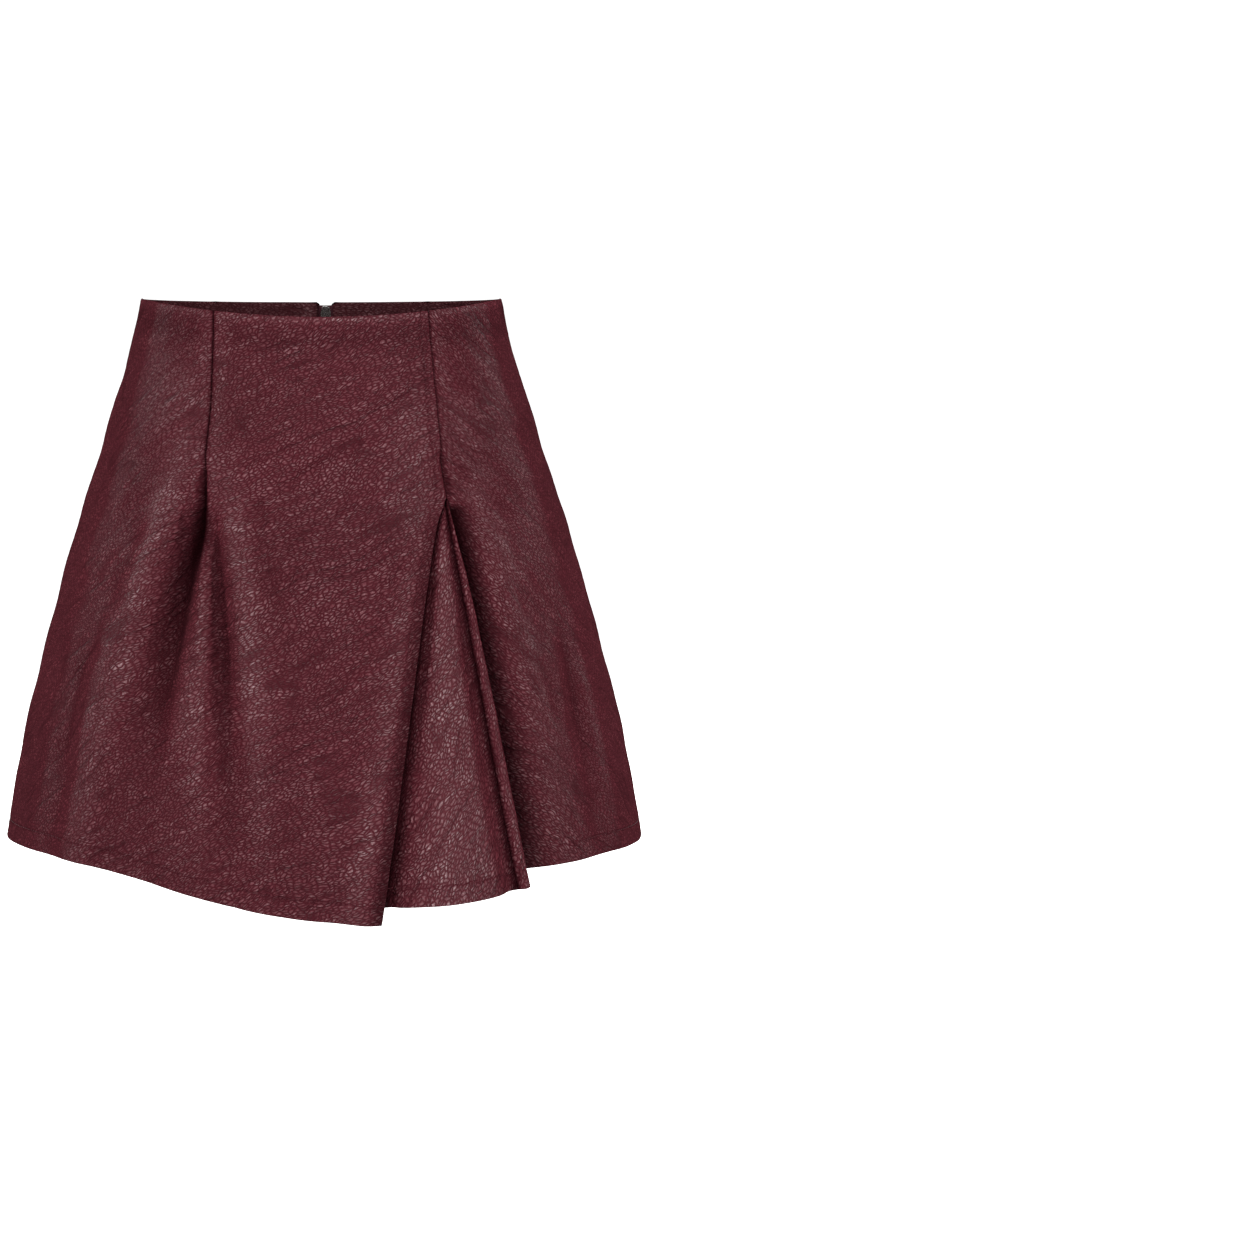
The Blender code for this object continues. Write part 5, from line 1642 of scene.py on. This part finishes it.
class SKIRT_OT_zip(bpy.types.Operator):
    """Lay the zip's tapes and its coil, and finish the metal parts"""
    bl_idname = "skirt.zip"
    bl_label = "Zip"

    def execute(self, context):
        scene = context.scene
        look = scene.skirt_zip
        tape = kept(woven, "zip tape", look.tape_colour)
        for index, piece_cut in enumerate(tape_cuts()):
            sew(piece_cut, scene, [tape, tape], TAPES_FROM + index)
        self.coil(scene, look)
        metal = kept(nickel, "nickel", look.metal_colour)
        lacquered = kept(nickel, "lacquered metal", look.stop_colour)
        for name, made in (("zip_slider", metal), ("zip_pull", metal), ("zip_bottom_stop", lacquered)):
            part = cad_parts[name]
            part.data.materials.clear()
            part.data.materials.append(made)
            joined = part.modifiers.new("joined", "WELD")
            joined.merge_threshold = METAL_JOINED_WITHIN
            bevel = part.modifiers.new("rounded", "BEVEL")
            bevel.width = look.metal_round
            bevel.segments = 2
            bevel.limit_method = "ANGLE"
            bevel.angle_limit = METAL_EDGE_ANGLE
        return {"FINISHED"}

    def coil(self, scene, look):
        """Two rows of rounded teeth that mesh down the middle, on a narrow core."""
        mesh = bmesh.new()
        across = Vector((1, 0, 0))
        drop = CHAIN_START
        side = 1
        while drop < TEETH_END:
            centre, out = zip_point(ZIP_X + side * TOOTH_ASIDE, drop, TOOTH_DEPTH)
            bead(mesh, centre * MM, (across, across.cross(out).normalized(), out), TOOTH)
            side = -side
            drop += look.tooth_pitch / MM / 2
        sheet = bmesh.ops.create_grid(mesh, x_segments=1, y_segments=CORE_STEPS, size=0.5)["verts"]
        for vert in sheet:
            centre, _ = zip_point(ZIP_X, mix(CHAIN_START, CHAIN_END, 0.5 - vert.co.y), CORE_DEPTH)
            vert.co = (centre + across * vert.co.x * CORE_WIDTH) * MM
        flat = list({face for vert in sheet for face in vert.link_faces})
        moved = bmesh.ops.extrude_face_region(mesh, geom=flat)["geom"]
        verts = [part for part in moved if isinstance(part, bmesh.types.BMVert)]
        bmesh.ops.translate(mesh, verts=verts, vec=(0, -CORE_THICK * MM, 0))
        bmesh.ops.recalc_face_normals(mesh, faces=mesh.faces[:])
        for face in mesh.faces:
            face.smooth = True
        data = mesh_data("zip_coil", mesh)
        coil = finished("zip_coil", data, [kept(spun, "zip coil", look.coil_colour, THREAD_ROUGHNESS)])
        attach(coil, "skirt")
        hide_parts("zip_chain")


# ---------------------------------------------------------------- studio

EYE = Vector((0, -2.4, 0))
AIM = Vector((0.2128, 0, -0.231))
LENS = 98.4
SENSOR_WIDTH = 36.0
FARTHEST = 100.0
FLOOR_RADIUS = 30.0
LIT_MIDDLE = (0, 0, -0.2)

# Lights before and behind the skirt: how far to the side, away from it and up, and the size of each.
KEY_PLACE = (1.25, 2.0, 0.8)
KEY_SIZE = (1.6, 1.4)
FILL_PLACE = (0, 2.4, 0.7)
FILL_SIZE = (1.6, 0.8)
OVERHEAD = (0, 0, 2.8)
OVERHEAD_SIZE = (3.0, 3.0)

# The floor is faintly uneven, and glows a little to the camera from the skirt out to where it is plain white.
FLOOR_CLOUD_SCALE = 1.5
FLOOR_CLOUD_RANGE = (0.3, 0.7)
FLOOR_PALE = (0.9, 0.93)
FLOOR_GLOW = (0.35, 1.1)
FLOOR_GLOW_REACH = (0.2, 1.6)
SKY_SEEN = 1.1
SKY_IN_GLOSS = 0.3


def area_light(name, place, target, size, power):
    data = bpy.data.lights.new(name, "AREA")
    data.shape = "RECTANGLE"
    data.size, data.size_y = size
    data.energy = power
    light = bpy.data.objects.new(name, data)
    light.location = place
    light.rotation_euler = (Vector(target) - Vector(place)).to_track_quat("-Z", "Y").to_euler()
    bpy.context.scene.collection.objects.link(light)


def pale_floor():
    """White near the object, where it takes soft shadows, and plain white beyond."""
    material, tree, shader = plain_material("pale floor", Roughness=0.9, Specular_IOR_Level=0.1)
    place = node(tree, "ShaderNodeTexCoord").outputs["Object"]
    cloud = solid_noise(tree, FLOOR_CLOUD_SCALE)
    pale = between(tree, cloud, *FLOOR_CLOUD_RANGE, *FLOOR_PALE)
    white = node(tree, "ShaderNodeCombineColor", {"Red": pale, "Green": pale, "Blue": pale})
    tree.links.new(white.outputs[0], shader.inputs["Base Color"])
    flat = vectors(tree, "MULTIPLY", place, (1, 1, 0))
    away = node(tree, "ShaderNodeVectorMath", {0: flat}, operation="LENGTH").outputs["Value"]
    glow = between(tree, away, *FLOOR_GLOW_REACH, *FLOOR_GLOW)
    seen = node(tree, "ShaderNodeLightPath").outputs["Is Camera Ray"]
    shader.inputs["Emission Color"].default_value = (1, 1, 1, 1)
    tree.links.new(sums(tree, "MULTIPLY", glow, seen), shader.inputs["Emission Strength"])
    return material


def studio_world(ambient):
    world = bpy.data.worlds.new("studio")
    world.use_nodes = True
    tree = world.node_tree
    path = node(tree, "ShaderNodeLightPath")
    strength = between(tree, path.outputs["Is Glossy Ray"], 0.0, 1.0, ambient, SKY_IN_GLOSS * ambient)
    seen = sums(tree, "MULTIPLY", path.outputs["Is Camera Ray"], SKY_SEEN)
    strength = sums(tree, "MAXIMUM", strength, seen)
    tree.links.new(strength, tree.nodes["Background"].inputs["Strength"])
    tree.nodes["Background"].inputs["Color"].default_value = (1, 1, 1, 1)
    return world


class SKIRT_OT_stage(bpy.types.Operator):
    """Set the pale floor, the soft lights and the camera"""
    bl_idname = "skirt.stage"
    bl_label = "Studio"

    def execute(self, context):
        scene = context.scene
        look = scene.skirt_studio
        mesh = bmesh.new()
        bmesh.ops.create_circle(mesh, cap_ends=True, segments=64, radius=FLOOR_RADIUS)
        bmesh.ops.translate(mesh, verts=mesh.verts[:], vec=(0, 0, look.floor_level))
        finished("studio_floor", mesh_data("studio_floor", mesh), [pale_floor()])
        scene.world = studio_world(look.ambient)
        for name, side in (("front", -1), ("back", 1)):
            for hand in (-1, 1):
                place = (KEY_PLACE[0] * hand, KEY_PLACE[1] * side, KEY_PLACE[2])
                area_light(f"{name}_key_{hand}", place, LIT_MIDDLE, KEY_SIZE, look.key_power)
            place = (FILL_PLACE[0], FILL_PLACE[1] * side, FILL_PLACE[2])
            area_light(name + "_fill", place, LIT_MIDDLE, FILL_SIZE, look.fill_power)
        area_light("floor_light", OVERHEAD, (0, 0, -1), OVERHEAD_SIZE, look.floor_power)
        camera = bpy.data.objects.new("camera", bpy.data.cameras.new("camera"))
        camera.data.lens = LENS
        camera.data.sensor_width = SENSOR_WIDTH
        camera.data.clip_end = FARTHEST
        camera.location = EYE
        camera.rotation_euler = (AIM - EYE).to_track_quat("-Z", "Y").to_euler()
        scene.collection.objects.link(camera)
        scene.camera = camera
        scene.view_settings.view_transform = "Standard"
        return {"FINISHED"}


class SKIRT_PT_panel(bpy.types.Panel):
    bl_idname = "SKIRT_PT_panel"
    bl_label = "Leather skirt"
    bl_space_type = "VIEW_3D"
    bl_region_type = "UI"
    bl_category = "Skirt"

    def draw(self, context):
        for settings in SETTINGS:
            box = self.layout.box()
            group = getattr(context.scene, settings)
            for name in group.__annotations__:
                box.prop(group, name)
        for operator in OPERATORS:
            self.layout.operator(operator.bl_idname)


SETTINGS = {"skirt_leather": LeatherLook, "skirt_cloth": ClothSizes, "skirt_zip": ZipLook,
            "skirt_studio": StudioLook}
OPERATORS = (SKIRT_OT_panels, SKIRT_OT_pleats, SKIRT_OT_facings, SKIRT_OT_zip, SKIRT_OT_stage)


def register():
    for settings in SETTINGS.values():
        bpy.utils.register_class(settings)
    for operator in OPERATORS:
        bpy.utils.register_class(operator)
    bpy.utils.register_class(SKIRT_PT_panel)
    for name, settings in SETTINGS.items():
        setattr(bpy.types.Scene, name, PointerProperty(type=settings))


def unregister():
    for name in SETTINGS:
        delattr(bpy.types.Scene, name)
    bpy.utils.unregister_class(SKIRT_PT_panel)
    for operator in reversed(OPERATORS):
        bpy.utils.unregister_class(operator)
    for settings in reversed(SETTINGS.values()):
        bpy.utils.unregister_class(settings)


def main():
    register()
    bpy.ops.skirt.stage()
    bpy.ops.skirt.panels()
    bpy.ops.skirt.pleats()
    bpy.ops.skirt.facings()
    bpy.ops.skirt.zip()


if __name__ == "__main__":
    main()
